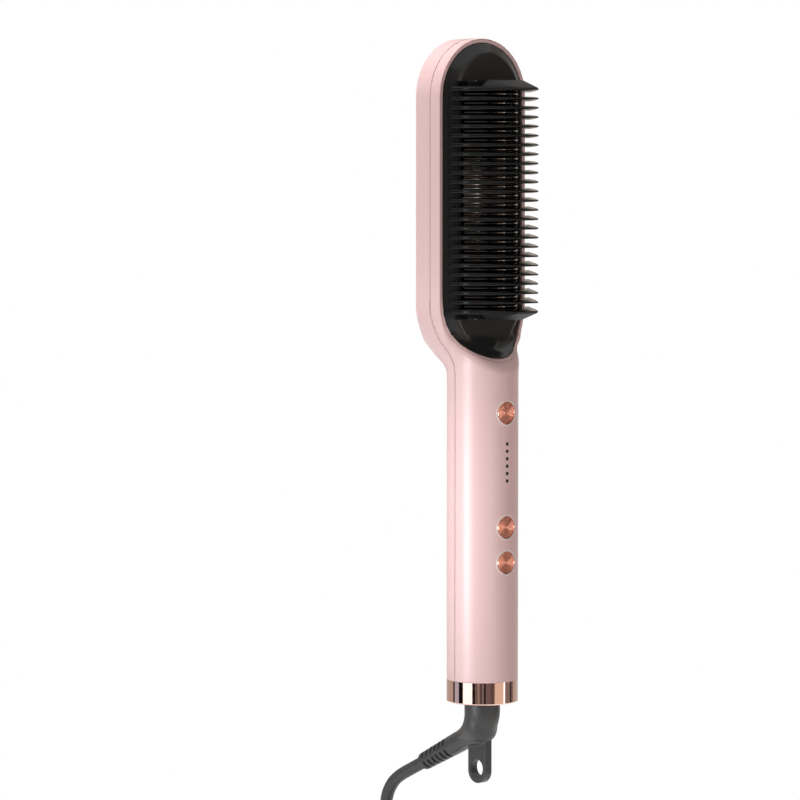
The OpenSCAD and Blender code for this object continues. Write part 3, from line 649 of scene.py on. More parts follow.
@dataclass(frozen=True)
class Finish:
    """The look of one surface."""

    name: str
    colour: str
    other_colour: str
    roughness: float
    metallic: float = 0.0
    specular: float = 0.5
    coat: float = 0.0
    coat_roughness: float = 0.1
    grain_scale: float = 900.0
    grain_depth: float = 0.01
    grain_strength: float = 0.2
    roughness_spread: float = 0.05
    mottle_scale: float = 40.0
    anisotropic: float = 0.0

    def make(self, effects: Effects) -> Material:
        """Builds the material.

        Args:
            effects: the shared node groups.

        Returns:
            The material, with its colour, roughness and relief from nodes.
        """
        material, graph, shader = new_material(self.name)
        mottle = graph.add(
            "ShaderNodeGroup", {"Scale": self.mottle_scale}, node_tree=effects.mottle
        )
        # On a turned face the mask is painted streaks of reflection; elsewhere it is a faint
        # mottle of the surface's own tone.
        mask = self._painted_reflection_spokes(graph) if self.anisotropic else mottle.outputs["Mask"]
        grain = graph.add(
            "ShaderNodeGroup",
            {
                "Scale": self.grain_scale,
                "Roughness": self.roughness,
                "Spread": self.roughness_spread,
            },
            node_tree=effects.grain,
        ).outputs
        bump = graph.add(
            "ShaderNodeBump",
            {
                "Strength": self.grain_strength,
                "Distance": self.grain_depth * MM,
                "Height": grain["Height"],
            },
        )
        graph.set(shader, {
            "Base Color": graph.mix(hexa(self.colour), hexa(self.other_colour), mask),
            "Metallic": self.metallic,
            "Roughness": grain["Roughness"],
            "Specular IOR Level": self.specular,
            "Coat Weight": self.coat,
            "Coat Roughness": self.coat_roughness,
            "Normal": bump.outputs["Normal"],
        })
        if self.anisotropic:
            graph.set(shader, {"Anisotropic": self.anisotropic, "Tangent": graph.round_y()})
        return material

    @staticmethod
    def _painted_reflection_spokes(graph: Graph) -> Socket:
        """Returns a mask of fine spokes round a turned face, which paint light and dark streaks
        of reflection.
        """
        noise = graph.noise(graph.round_y(), 9, 3)
        limits = {"From Min": 0.35, "From Max": 0.65, "Value": noise}
        return graph.add("ShaderNodeMapRange", limits).outputs["Result"]


PINK = Finish("housing_pink", "F0CCCB", "EEC9C8", 0.36, specular=0.3, coat=0.15,
              coat_roughness=0.24)
GLOSS_BLACK = Finish("gloss_black", "2C2C2C", "2F2F2F", 0.16, specular=0.25, grain_depth=0.002)
COMB_BLACK = Finish("comb_black", "151515", "191919", 0.16, specular=0.2, grain_depth=0.003)
DARK_METAL = Finish("heater_coating", "7A7672", "7E7976", 0.12, metallic=1.0, grain_depth=0.003)
ROSE_METAL = Finish("polished_rose_metal", "E6C4B9", "E0BBB0", 0.07, metallic=1.0)
SATIN_ROSE = Finish("satin_rose_metal", "C89488", "C28C82", 0.3, metallic=1.0)
COMB_SATIN = Finish("comb_satin", "1C1C1C", "202020", 0.5, specular=0.1, grain_depth=0.004)
# The copper's lighter colour goes on in fine spokes: painted streaks of reflection round the
# turned face.
COPPER = Finish("turned_copper", "9C5646", "DC9C86", 0.2, metallic=1.0, anisotropic=0.5)
SEAM_LINE = Finish("seam_line", "D2B2B0", "CEAEAC", 0.6)
# Painted highlight: the pale colour of the rims round the buttons' holes stands for light
# caught on their rounded edge.
HIGHLIGHT_RIM = Finish("painted_highlight_rim", "F7E6E4", "F4E2E0", 0.25, coat=0.5)
# Painted shadow: a thin darker pink strip stands for the shade in a groove round the black
# front.
GROOVE_SHADOW = Finish("painted_groove_shadow", "C4A49E", "BE9E98", 0.5)
GUARD_GREY = Finish("guard_grey", "3E3E3E", "424242", 0.42, grain_depth=0.02)
CORD_GREY = Finish("cord_grey", "454545", "464646", 0.5, grain_depth=0.0,
                   roughness_spread=0.0)
LENS_BROWN = Finish("lamp_lens", "24222C", "2A2730", 0.2)
PIN_METAL = Finish("pin_metal", "C9C2AE", "BDB59F", 0.25, metallic=1.0)
PLAIN_STEEL = Finish("plain_steel", "9A9DA1", "8F9296", 0.3, metallic=1.0)
BRASS = Finish("contact_brass", "C8A24E", "B8923E", 0.3, metallic=1.0)
BOARD_GREEN = Finish("board_green", "2F6B46", "275C3B", 0.4)
WARM_WHITE = Finish("warm_white", "E5E0D6", "DAD4C8", 0.5)
DARK_PARTS = Finish("dark_parts", "3A3A3D", "303033", 0.5)
MICA = Finish("mica", "C9B88A", "BBA976", 0.6)


def paint(piece: Object, material: Material) -> None:
    """Gives a piece one material in place of any that it has."""
    piece.data.materials.clear()
    piece.data.materials.append(material)


def finish_piece(
    piece: Object,
    body: Body,
    material: Material,
    slot: str,
    *nodes: str,
) -> Object:
    """Gives a piece its material, its body and the CAD nodes it stands for.

    Args:
        piece: the object.
        body: the body that it rides on.
        material: its material.
        slot: the record's material slot; not used.
        nodes: the CAD nodes that it replaces.

    Returns:
        The same object.
    """
    paint(piece, material)
    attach(piece, body.value)
    if nodes:
        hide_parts(*nodes)
    LOG.info("built %s on %s", piece.name, body.value)
    return piece


# What the frame says


@dataclass
class Layout:
    """Main sizes of the brush, in millimetres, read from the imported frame."""

    handle_r: float
    ring_low: float
    ring_top: float
    head_r: float
    head_top: float
    back_y: float
    frame_r: float
    arc_low: float
    arc_high: float
    head_low: float
    comb_low: float
    comb_high: float
    crest_y: float

    @staticmethod
    def box(node: str) -> Array:
        """Returns a node's lowest and highest corners in millimetres."""
        return np.array(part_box(node)) / MM

    @classmethod
    def read(cls) -> Layout:
        """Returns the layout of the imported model."""
        ring, rear = cls.box("end_ring"), cls.box("rear_shell")
        frame, comb = cls.box("back_frame"), cls.box("comb")
        head_r, head_top = rear[1][0], rear[1][2]
        frame_r = frame[1][0]
        return cls(
            handle_r=ring[1][0],
            ring_low=ring[0][2],
            ring_top=ring[1][2],
            head_r=head_r,
            head_top=head_top,
            back_y=rear[1][1],
            frame_r=frame_r,
            arc_low=frame[0][2] + frame_r,
            arc_high=head_top - head_r,
            head_low=frame[0][2] + frame_r - head_r,
            comb_low=comb[0][2],
            comb_high=comb[1][2],
            crest_y=comb[0][1],
        )

    def oval(self, x: Array, z: Array, r: float) -> Array:
        """Returns the field of the head's oval outline of the given radius."""
        return np.hypot(x, z - np.clip(z, self.arc_low, self.arc_high)) - r

    @property
    def comb_mid(self) -> float:
        """Height of the middle of the comb."""
        return (self.comb_low + self.comb_high) / 2

    def round_oval(self, section: Sequence[tuple[float, float]], steps: int) -> Array:
        """Carries a section round the head's oval outline.

        Args:
            section: its points, as radius and depth.
            steps: number of stretches in half a turn.

        Returns:
            The rings of points, as place on the oval, point of the section and coordinate.
        """
        turn = np.linspace(0, math.pi, steps + 1)
        turn = np.concatenate([turn, turn + math.pi])[:, None]
        middle = np.repeat([self.arc_high, self.arc_low], steps + 1)[:, None]
        r, y = np.array(section).T
        return np.stack(
            [r * np.cos(turn), y + 0 * turn, middle + r * np.sin(turn)], axis=2
        )


# The housing


@dataclass
class Housing:
    """The two pink shells, their buttons' holes and the black front."""

    layout: Layout
    wall: float = 2.0
    front_wall: float = 1.6
    collar_t: float = 1.2
    collar_h: float = 6.0
    edge: float = 0.3
    back_edge: float = 0.6
    neck_blend: float = 7.0
    lip: float = 1.8
    slope_start: float = 6.0
    slope_len: float = 20.0
    seam_handle: float = 1.0
    seam_head: float = 6.0
    seam_start: float = 3.0
    flare: float = 1.4
    back_flare: float = 1.8
    flare_len: float = 12.0
    shoulder: float = 2.6
    shoulder_len: float = 3.5
    ledge: float = 1.9
    back_wall: float = 3.75
    frame_seat: float = 2.1
    gap: float = 0.1
    soft: float = 0.35
    cell: float = 0.65
    front_cell: float = 0.5
    band: float = 4.5
    plateau: float = 2.8
    sheet: float = 1.6
    ramp_start: float = 12.5
    ramp_rise: float = 7.2
    bulge: float = 1.6
    bulge_half: float = 13.0
    window_x: float = 14.5
    window_inset: float = 6.0
    hole_y: float = -8.0
    hole_r: float = 4.8
    hole_z: tuple[float, ...] = field(default_factory=tuple)

    def neck_y(self, z: Array) -> Array:
        """Returns the depth of the sloping front at each height."""
        deep = self.layout.handle_r + 0.2
        start = self.layout.head_low - self.slope_start
        return -deep + deep * half_wave((z - start) / self.slope_len)

    def seam_y(self, z: Array) -> Array:
        """Returns the depth of the seam at each height."""
        start = self.layout.head_low - self.seam_start
        rise = self.layout.arc_low - 0.5 - start
        step = self.seam_head - self.seam_handle
        return self.seam_handle + step * half_wave((z - start) / rise)

    def handle_radius(self, z: Array) -> Array:
        """Returns the handle's radius at each height, with its flare at the neck."""
        part = (z - self.layout.head_low + self.slope_start) / self.flare_len
        curve = self.flare * np.clip(part, 0, 1) ** 2
        beyond = np.clip((part - 1) * self.flare_len / self.shoulder_len, 0, 1)
        return self.layout.handle_r + curve + beyond * self.shoulder

    def outside(self, x: Array, y: Array, z: Array) -> Array:
        """Returns the field of the closed housing."""
        lay = self.layout
        head = soft_max(lay.oval(x, z, lay.head_r), -y, self.edge)
        low = lay.head_low - self.slope_start
        part = np.clip((z - low) / self.flare_len, 0, 1)
        more = self.back_flare * part**2 * np.clip(y / 8, 0, 1)
        handle = soft_max(
            np.hypot(x, y) - self.handle_radius(z) - more,
            slab(z, lay.ring_top, lay.arc_low),
            0.2,
        )
        early = np.clip(low + 7 - z, 0, None) ** 2 / 8
        handle = soft_max(handle, (self.neck_y(z) - early - y) / 1.25, 3.0)
        blend = soft_min(head, handle, self.neck_blend)
        return soft_max(blend, y - lay.back_y, self.back_edge)

    def surface_y(self, x: Array, z: Array) -> Array:
        """Returns the depth at which a line along Y meets the closed housing."""
        y = self.face_y(x, z) - 2.0
        for _ in range(40):
            y = y + 0.8 * self.outside(x, y, z)
        return y

    def hollow(self, x: Array, y: Array, z: Array) -> Array:
        """Returns the field of the space inside the housing."""
        lay = self.layout
        bore = np.hypot(x, y) - (lay.handle_r - self.wall)
        collar_top = lay.ring_top + self.collar_h
        bore = np.maximum(bore, slab(z, collar_top - 0.2, lay.arc_low))
        bore = np.maximum(bore, self.neck_y(z + 1.5) + self.front_wall - y)
        collar = np.hypot(x, y) - (lay.handle_r - self.wall - self.collar_t)
        collar = np.maximum(collar, slab(z, lay.ring_top - 2, collar_top))
        bore = np.minimum(bore, collar)
        bore = np.maximum(bore, y - (lay.back_y - self.back_wall))
        head = np.maximum(
            lay.oval(x, z, lay.head_r - self.wall),
            slab(y, self.sheet + 1.5, lay.back_y - self.back_wall),
        )
        return np.minimum(bore, head)

    def pocket(self, x: Array, y: Array, z: Array) -> Array:
        """Returns the field of the seat of the black front."""
        lay = self.layout
        seat = np.maximum(lay.oval(x, z, lay.head_r - self.lip), y - self.sheet)
        through = np.maximum(
            lay.oval(x, z, lay.head_r - self.lip - self.ledge), y - self.sheet - 2
        )
        return np.minimum(seat, through)

    def front(self, x: Array, y: Array, z: Array) -> Array:
        """Returns the field of the front shell."""
        shell = soft_max(self.outside(x, y, z), -self.hollow(x, y, z), 0.05)
        shell = soft_max(shell, -self.pocket(x, y, z), self.soft)
        shell = np.maximum(shell, y - self.seam_y(z))
        for height in self.hole_z:
            hole = np.maximum(np.hypot(x, z - height) - self.hole_r, y - self.hole_y)
            shell = soft_max(shell, -hole, self.soft)
        return shell

    def rear(self, x: Array, y: Array, z: Array) -> Array:
        """Returns the field of the rear shell."""
        lay = self.layout
        seat = lay.oval(x, z, lay.frame_r + self.gap)
        recess = np.maximum(seat, lay.back_y - self.frame_seat - y)
        shell = soft_max(self.outside(x, y, z), -self.hollow(x, y, z), 0.05)
        shell = soft_max(shell, -recess, 0.4)
        return np.maximum(shell, self.seam_y(z) - y)

    def face_y(self, x: Array, z: Array) -> Array:
        """Returns the depth of the housing's front face at each place."""
        r = self.handle_radius(z)
        round_front = -np.sqrt(np.maximum(r**2 - np.square(x), 0))
        return np.minimum(np.maximum(self.neck_y(z), round_front), 0)

    def bezel(self, x: Array, y: Array, z: Array) -> Array:
        """Returns the field of the black front."""
        lay = self.layout
        depth = -lay.oval(x, z, lay.head_r - self.lip - self.gap)
        part = (depth + self.band - np.sqrt((depth - self.band) ** 2 + 0.6)) / 2 / self.band
        foot, low = lay.head_low + self.ramp_start, lay.head_low + self.lip + self.gap
        run, rise = foot - low, self.ramp_rise
        ramp_r = (run * run + rise * rise) / (2 * rise)
        fall = np.clip(foot - z, 0, run)
        ramp = -self.plateau - ramp_r + np.sqrt(np.maximum(ramp_r**2 - fall**2, 0.01))
        belly = np.clip(1 - np.square(x / self.bulge_half), 0, 1)
        bulge = self.bulge * half_wave(fall / 7) * belly
        rim = self.face_y(x, z) + 0.2 - 0.5 * half_wave((lay.head_low + 16 - z) / 8)
        top = rim + (ramp - bulge - rim) * np.clip(part, 0, 1)
        steep = np.where(z < foot, 1.4, 1.12)
        sheet = slab(y, top, top + self.sheet * steep) / steep
        half = (lay.comb_high - lay.comb_low) / 2 - self.window_inset
        high = np.abs(z - lay.comb_mid) - half
        sheet = np.maximum(sheet, -np.maximum(np.abs(x) - self.window_x, high))
        return soft_max(sheet, -depth, 0.15)

    def painted_groove_shadow(self) -> Object:
        """Makes the fine dark strip that runs round the black front, on the housing, as painted
        shadow of a groove.

        Returns:
            The new object.
        """
        lay = self.layout
        r = lay.head_r - self.lip
        section = [(r + 1.3, 0.3), (r + 1.3, -0.03), (r + 1.5, -0.03), (r + 1.5, 0.3)]
        rings = lay.round_oval(section, 72)
        rings[..., 1] += self.surface_y(rings[..., 0], rings[..., 2])
        return tube("lip_line_strip", rings)

    def seam_line(self) -> Object:
        """Makes the fine dark line of the seam, up one side and down the other.

        Returns:
            The new object.
        """
        lay = self.layout
        rise = np.linspace(lay.ring_top + 0.1, lay.arc_high, 110)
        depth = self.seam_y(rise)
        reach = np.full_like(rise, lay.head_r + 1.0)
        for _ in range(60):
            reach = reach - 0.7 * self.outside(reach, depth, rise)
        rings = []
        arc = np.linspace(0, math.pi, 49)[1:-1]
        for out, lift in ((-0.5, -0.2), (0.07, -0.16), (0.07, 0.16), (-0.5, 0.2)):
            side = np.stack([reach + out, depth + lift, rise], axis=1)
            r = lay.head_r + out
            level = np.full_like(arc, depth[-1] + lift)
            over = np.stack([r * np.cos(arc), level, lay.arc_high + r * np.sin(arc)], axis=1)
            rings.append(np.concatenate([side, over, side[::-1] * (-1, 1, 1)]))
        return tube("seam_line_strip", np.stack(rings, axis=1))

    def rims(self) -> list[Object]:
        """Makes the thin rims round the buttons' holes, whose pale colour is a painted
        highlight.

        Returns:
            The new objects.
        """
        pieces = []
        angles = np.linspace(0, 2 * math.pi, 64, endpoint=False)
        section = ((-0.02, 0.7), (-0.02, 0.0), (0.1, -0.14), (0.28, -0.16), (0.46, -0.08),
                   (0.56, 0.1))
        for k, height in enumerate(self.hole_z):
            rings = []
            for out, lift in section:
                r = self.hole_r + out
                x = r * np.cos(angles)
                y = lift - np.sqrt(self.layout.handle_r**2 - x**2)
                rings.append(np.stack([x, y, height + r * np.sin(angles)], axis=1))
            pieces.append(tube(f"hole_rim_{k + 1}", np.stack(rings, axis=1)))
        return pieces

    def build(
        self, pink: Material, black: Material, line: Material, pale: Material, seam: Material
    ) -> None:
        """Builds and dresses the shells and the black front.

        Args:
            pink: material of the shells.
            black: material of the front.
            line: material of the painted shadow strip round the black front.
            pale: material of the rims round the buttons, a painted highlight.
            seam: material of the seam's line.
        """
        lay = self.layout
        low = (-lay.head_r, -lay.handle_r, lay.ring_top)
        high = (lay.head_r, lay.back_y, lay.head_top)
        shells = (
            ("rear_housing", self.rear, "rear_shell"),
            ("front_housing", self.front, "front_shell"),
        )
        for name, shape, node in shells:
            piece = skin(name, shape, low, high, self.cell)
            finish_piece(piece, Body.BRUSH, pink, "housing", node)
        low = (-lay.head_r, -11, lay.head_low)
        piece = skin("black_front", self.bezel, low, high, self.front_cell)
        finish_piece(piece, Body.BRUSH, black, "black_front", "bezel")
        # The strip round the black front is painted shadow, standing for a groove.
        finish_piece(self.painted_groove_shadow(), Body.BRUSH, line, "housing", "front_shell")
        finish_piece(self.seam_line(), Body.BRUSH, seam, "housing", "front_shell")
        # The rims round the buttons' holes are pale with a painted highlight.
        for piece in self.rims():
            finish_piece(piece, Body.BRUSH, pale, "housing", "front_shell")


# The comb and the heated ribs


@dataclass
class Comb:
    """The fins, their frame and the heated ribs between them."""

    layout: Layout
    count: int = 25
    pitch: float = 3.83
    half_width: float = 22.9
    crest_half: float = 6.0
    tip_y: float = -4.7
    foot_y: float = -3.6
    foot_half: float = 15.7
    plateau_y: float = -2.8
    rail_half: float = 18.0
    foot_t: float = 2.05
    crest_t: float = 0.6
    cap_t: float = 3.9
    cap_foot_t: float = 1.25
    cover_half: float = 12.6
    cover_y: float = -5.45
    base_half: float = 14.2
    rib_t: float = 1.3
    rib_crest_y: float = -15.0
    edge_turns: tuple[int, ...] = (-90, -62, -36, -12, 12, 36, 62, 90)
    peak: tuple[float, float] = (12.8, -13.7)

    @property
    def half_len(self) -> float:
        """Distance from the middle to the last fin."""
        return (self.count - 1) / 2 * self.pitch

    def thickness(self, y: float, foot: float, crest: float, top_y: float) -> float:
        """Returns how thick a blade is at a given depth.

        Args:
            y: the depth.
            foot: thickness at the plateau.
            crest: thickness at the crest.
            top_y: depth of the crest.
        """
        part = (self.plateau_y - y) / (self.plateau_y - top_y)
        return foot + (crest - foot) * min(max(part, 0), 1) ** 2.2

    def fin_outline(self) -> list[tuple[float, float]]:
        """Returns the outline of a fin seen from above, counter-clockwise from its foot."""
        w, c, top = self.half_width, self.crest_half, self.layout.crest_y
        right = [
            (self.foot_half, self.foot_y),
            (w - 2.6, self.tip_y + 1.35),
            (w - 1.0, self.tip_y + 0.75),
            (w - 0.2, self.tip_y + 0.3),
            (w, self.tip_y - 0.2),
            (w - 0.45, self.tip_y - 0.85),
            (w - 1.9, self.tip_y - 2.2),
            (w - 3.2, self.tip_y - 3.5),
            (w - 3.8, self.tip_y - 4.7),
            (w - 4.5, self.tip_y - 6.3),
            (w - 5.4, self.tip_y - 7.5),
            (w - 7.0, self.tip_y - 8.9),
            (w - 8.3, self.tip_y - 10.9),
            (w - 10.4, top + 8.3),
            (w - 12.7, top + 5.4),
            (w - 14.9, top + 2.5),
            (w - 15.9, top + 1.4),
            (c + 0.3, top + 0.6),
            (c - 0.3, top + 0.2),
            (c - 1.4, top),
        ]
        return right + [(-x, y) for x, y in reversed(right)]

    def rib_outline(self) -> list[tuple[float, float]]:
        """Returns the outline of a heated rib seen from above."""
        top = self.rib_crest_y
        right = [
            (self.base_half, self.plateau_y),
            (self.base_half, -4.3),
            (15.4, -4.4),
            (15.4, -5.2),
            (10.5, -9.9),
            (7.0, top + 1.9),
            (5.4, top + 0.8),
            (3.4, top + 0.2),
            (1.5, top),
        ]
        return right + [(-x, y) for x, y in reversed(right)]

    def blade(
        self,
        name: str,
        outline: Sequence[tuple[float, float]],
        foot: float,
        crest: float,
        edge: float,
    ) -> Object:
        """Makes one blade with round edges, standing on the height 0.

        Args:
            name: name of the unit.
            outline: its outline seen from above.
            foot: its thickness at the plateau.
            crest: its thickness at the crest.
            edge: largest radius of its round edges.

        Returns:
            The unit object.
        """
        plan = np.array(outline)
        ahead = np.roll(plan, -1, axis=0) - plan
        behind = plan - np.roll(plan, 1, axis=0)
        ahead /= np.linalg.norm(ahead, axis=1)[:, None]
        behind /= np.linalg.norm(behind, axis=1)[:, None]
        way = ahead + behind
        way /= np.linalg.norm(way, axis=1)[:, None]
        centre = plan.mean(axis=0)
        out = np.stack([way[:, 1], -way[:, 0]], axis=1)
        flip = ((plan - centre) * out).sum(axis=1).mean() < 0
        out = -out if flip else out
        top_y = plan[:, 1].min()
        half = np.array([self.thickness(y, foot, crest, top_y) / 2 for y in plan[:, 1]])
        small = np.minimum(half, edge)
        rings = []
        for a in map(math.radians, self.edge_turns):
            flat = plan + out * (small * (math.cos(a) - 1))[:, None]
            lift = small * math.sin(a) + np.sign(a) * (half - small)
            rings.append(np.column_stack([flat, lift]))
        return stack(name, np.array(rings))

    def end_wall(self, name: str, side: int) -> Object:
        """Makes one end wall: a visor from a thick foot to the last fin's outline.

        Args:
            name: name of the piece.
            side: 1 for the upper wall, -1 for the lower.

        Returns:
            The new object.
        """
        base = self.layout.comb_mid + side * self.half_len
        top, flat = self.layout.crest_y, self.plateau_y
        visor = []
        for x, y in self.fin_outline():
            part = (flat - y) / (flat - top)
            inset = 1 - (1.6 - 1.1 * part) / self.half_width
            t = self.thickness(y, self.foot_t, self.crest_t, top)
            spot = (x * inset, min(y + 0.35, flat))
            visor += [(*spot, 0.0), (*spot, t / 2 + 0.25)]
        foot, cap = self.cap_foot_t, self.cap_t
        plate = visor + both_sides([
            (self.rail_half, flat, foot), (self.rail_half + 1.2, flat - 1.6, foot),
            (*self.peak, foot),
        ])
        crest = [p for p in visor if p[1] < top + 12.5] + both_sides([
            (4.2, flat, 0.5), (4.2, flat, foot), (1.0, flat, cap),
            (*self.peak, 0.5), (*self.peak, foot + 0.3), (9.5, -14.0, cap),
        ])
        half, low = self.cover_half, self.cover_y
        cover = both_sides([
            (half, flat, 0.0), (half, flat, 3.4), (half, low, 0.0), (half, low, 3.3),
        ])
        groups = [[(x, y, base + side * h) for x, y, h in g] for g in (plate, crest, cover)]
        wall = hulls(name, groups)
        round_edges(wall, 0.35, 3)
        return wall

    def rails(self) -> Object:
        """Makes the flat frame that joins the fins' feet."""
        outer = (self.rail_half, self.half_len + 3.4)
        inner = (self.foot_half, self.half_len - 0.95)
        low, high = self.plateau_y - 1.2, self.plateau_y
        mid, corners = self.layout.comb_mid, ((-1, -1), (1, -1), (1, 1), (-1, 1))
        rings = [
            [(sx * x, y, mid + sz * z) for sx, sz in corners]
            for (x, z), y in ((outer, high), (outer, low), (inner, low), (inner, high))
        ]
        return tube("comb_rails", np.array(rings))

    def build(self, black: Material, satin: Material, dark: Material) -> None:
        """Builds and dresses the comb and the heated ribs.

        Args:
            black: material of the comb.
            satin: material of its end walls.
            dark: material of the heated ribs.
        """
        first, step = self.layout.comb_mid - self.half_len, (0, 0, self.pitch)
        unit = self.blade("fin_unit", self.fin_outline(), self.foot_t, self.crest_t, 2.0)
        fins = Repeat("comb_fins", unit, (0, 0, first), step, self.count).make(black)
        finish_piece(fins, Body.BRUSH, black, "comb", "comb")
        for name, side in (("comb_upper_wall", 1), ("comb_lower_wall", -1)):
            finish_piece(self.end_wall(name, side), Body.BRUSH, satin, "comb", "comb")
        finish_piece(self.rails(), Body.BRUSH, black, "comb", "comb")
        unit = self.blade("rib_unit", self.rib_outline(), self.rib_t, self.rib_t * 0.8, 0.45)
        first += self.pitch / 2
        ribs = Repeat("heated_ribs", unit, (0, 0, first), step, self.count - 1).make(dark)
        finish_piece(ribs, Body.BRUSH, dark, "heater_plate", "heater_plate")
        half_x, half_z = self.base_half, self.half_len - 1.3
        plate = flat_box(
            "heated_base",
            (-half_x, self.plateau_y - 0.4, self.layout.comb_mid - half_z),
            (half_x, 1.4, self.layout.comb_mid + half_z),
        )
        finish_piece(plate, Body.BRUSH, dark, "heater_plate", "heater_plate")


# The back


@dataclass(frozen=True)
class Motif:
    """One layer of the print: blossoms, or dots where it has no petals.

    Sizes are shares of a motif's cell.
    """

    per_metre: float
    size: float
    petals: int = 0
    rim: str = "A97F86"
    heart: str = "E9A58E"
    heart_size: float = 0.085
    petal_depth: float = 0.28
    rim_width: float = 0.022
    tints: tuple[str, ...] = ("F3E9DC", "CDB6CE", "F7D0B4", "C2DBCF", "B98A9C", "F3E9DC")

    def add(self, graph: Graph, flat: Socket, under: Socket | Colour) -> Socket:
        """Adds the layer to a print.

        Args:
            graph: the graph of the print's material.
            flat: the place on the panel.
            under: the colour below the layer.

        Returns:
            The colour with the layer on it.
        """
        cells = graph.add(
            "ShaderNodeTexVoronoi",
            {"Scale": self.per_metre, "Randomness": 0.6, "Vector": flat},
            voronoi_dimensions="2D",
        ).outputs
        split = graph.add("ShaderNodeSeparateColor", {0: cells["Color"]}).outputs["Red"]
        count = len(self.tints)
        tint = graph.steps([(k / count, hexa(t)) for k, t in enumerate(self.tints)], split)
        if self.petals:
            away = graph.add(
                "ShaderNodeVectorMath", {0: flat, 1: cells["Position"]}, operation="SUBTRACT"
            ).outputs[0]
            parts = graph.add("ShaderNodeSeparateXYZ", {0: away}).outputs
            angle = graph.math("ARCTAN2", parts["X"], parts["Y"])
            swing = graph.math("COSINE", graph.math("MULTIPLY", angle, self.petals))
            reach = graph.math("MULTIPLY_ADD", swing, self.size * self.petal_depth, self.size)
            edge = graph.math("ADD", reach, self.rim_width)
            heart = (self.heart_size, hexa(self.heart))
            layers = [(edge, hexa(self.rim)), (reach, tint), heart]
        else:
            layers = [(self.size, tint)]
        for limit, colour in layers:
            inside = graph.math("LESS_THAN", cells["Distance"], limit)
            under = graph.mix(under, colour, inside)
        return under


@dataclass
class Back:
    """The metallic frame on the back and the printed panel inside it."""

    layout: Layout
    width: float = 3.8
    gap: float = 0.1
    panel_depth: float = 1.45
    steps: int = 48
    ground: str = "F8D0CE"

    def frame(self) -> Object:
        """Makes the frame: a rounded section swept round the oval."""
        lay = self.layout
        out, deep = lay.frame_r, lay.back_y
        inner = out - self.width
        section = [
            (out, deep - 2.05), (out, deep - 0.35), (out - 0.1, deep + 0.02),
            (out - 0.35, deep + 0.2), (out - 0.9, deep + 0.18), (out - 1.5, deep + 0.02),
            (inner + 0.5, deep - 1.1), (inner + 0.1, deep - 1.22), (inner, deep - 1.4),
            (inner, deep - 2.05),
        ]
        return tube("back_trim", lay.round_oval(section, self.steps))

    def panel(self) -> Object:
        """Makes the panel, with a slightly rounded rim."""
        lay = self.layout
        r, deep = lay.frame_r - self.width - self.gap, lay.back_y - self.panel_depth
        section = [(r, deep - 0.65), (r, deep - 0.15), (r - 0.15, deep)]
        rings = lay.round_oval(section, self.steps)
        return stack("printed_panel", rings.transpose(1, 0, 2))

    def print_material(self) -> Material:
        """Builds the panel's print: scattered blossoms and dots on pink."""
        material, graph, shader = new_material("blossom_print")
        parts = graph.add("ShaderNodeSeparateXYZ", {0: graph.place()}).outputs
        flat = graph.add("ShaderNodeCombineXYZ", {"X": parts["X"], "Y": parts["Z"]}).outputs[0]
        blossoms = Motif(per_metre=62.0, size=0.27, petals=6)
        dots = Motif(per_metre=118.0, size=0.09)
        colour = dots.add(graph, flat, blossoms.add(graph, flat, hexa(self.ground)))
        graph.set(shader, {
            "Base Color": colour, "Roughness": 0.22, "Coat Weight": 0.4, "Coat Roughness": 0.08,
        })
        return material

    def build(self, metal: Material) -> None:
        """Builds and dresses the back.

        Args:
            metal: material of the frame.
        """
        finish_piece(self.frame(), Body.BRUSH, metal, "back_frame", "back_frame")
        panel = self.panel()
        finish_piece(panel, Body.BRUSH, self.print_material(), "back_panel", "back_panel")


# Handle fittings


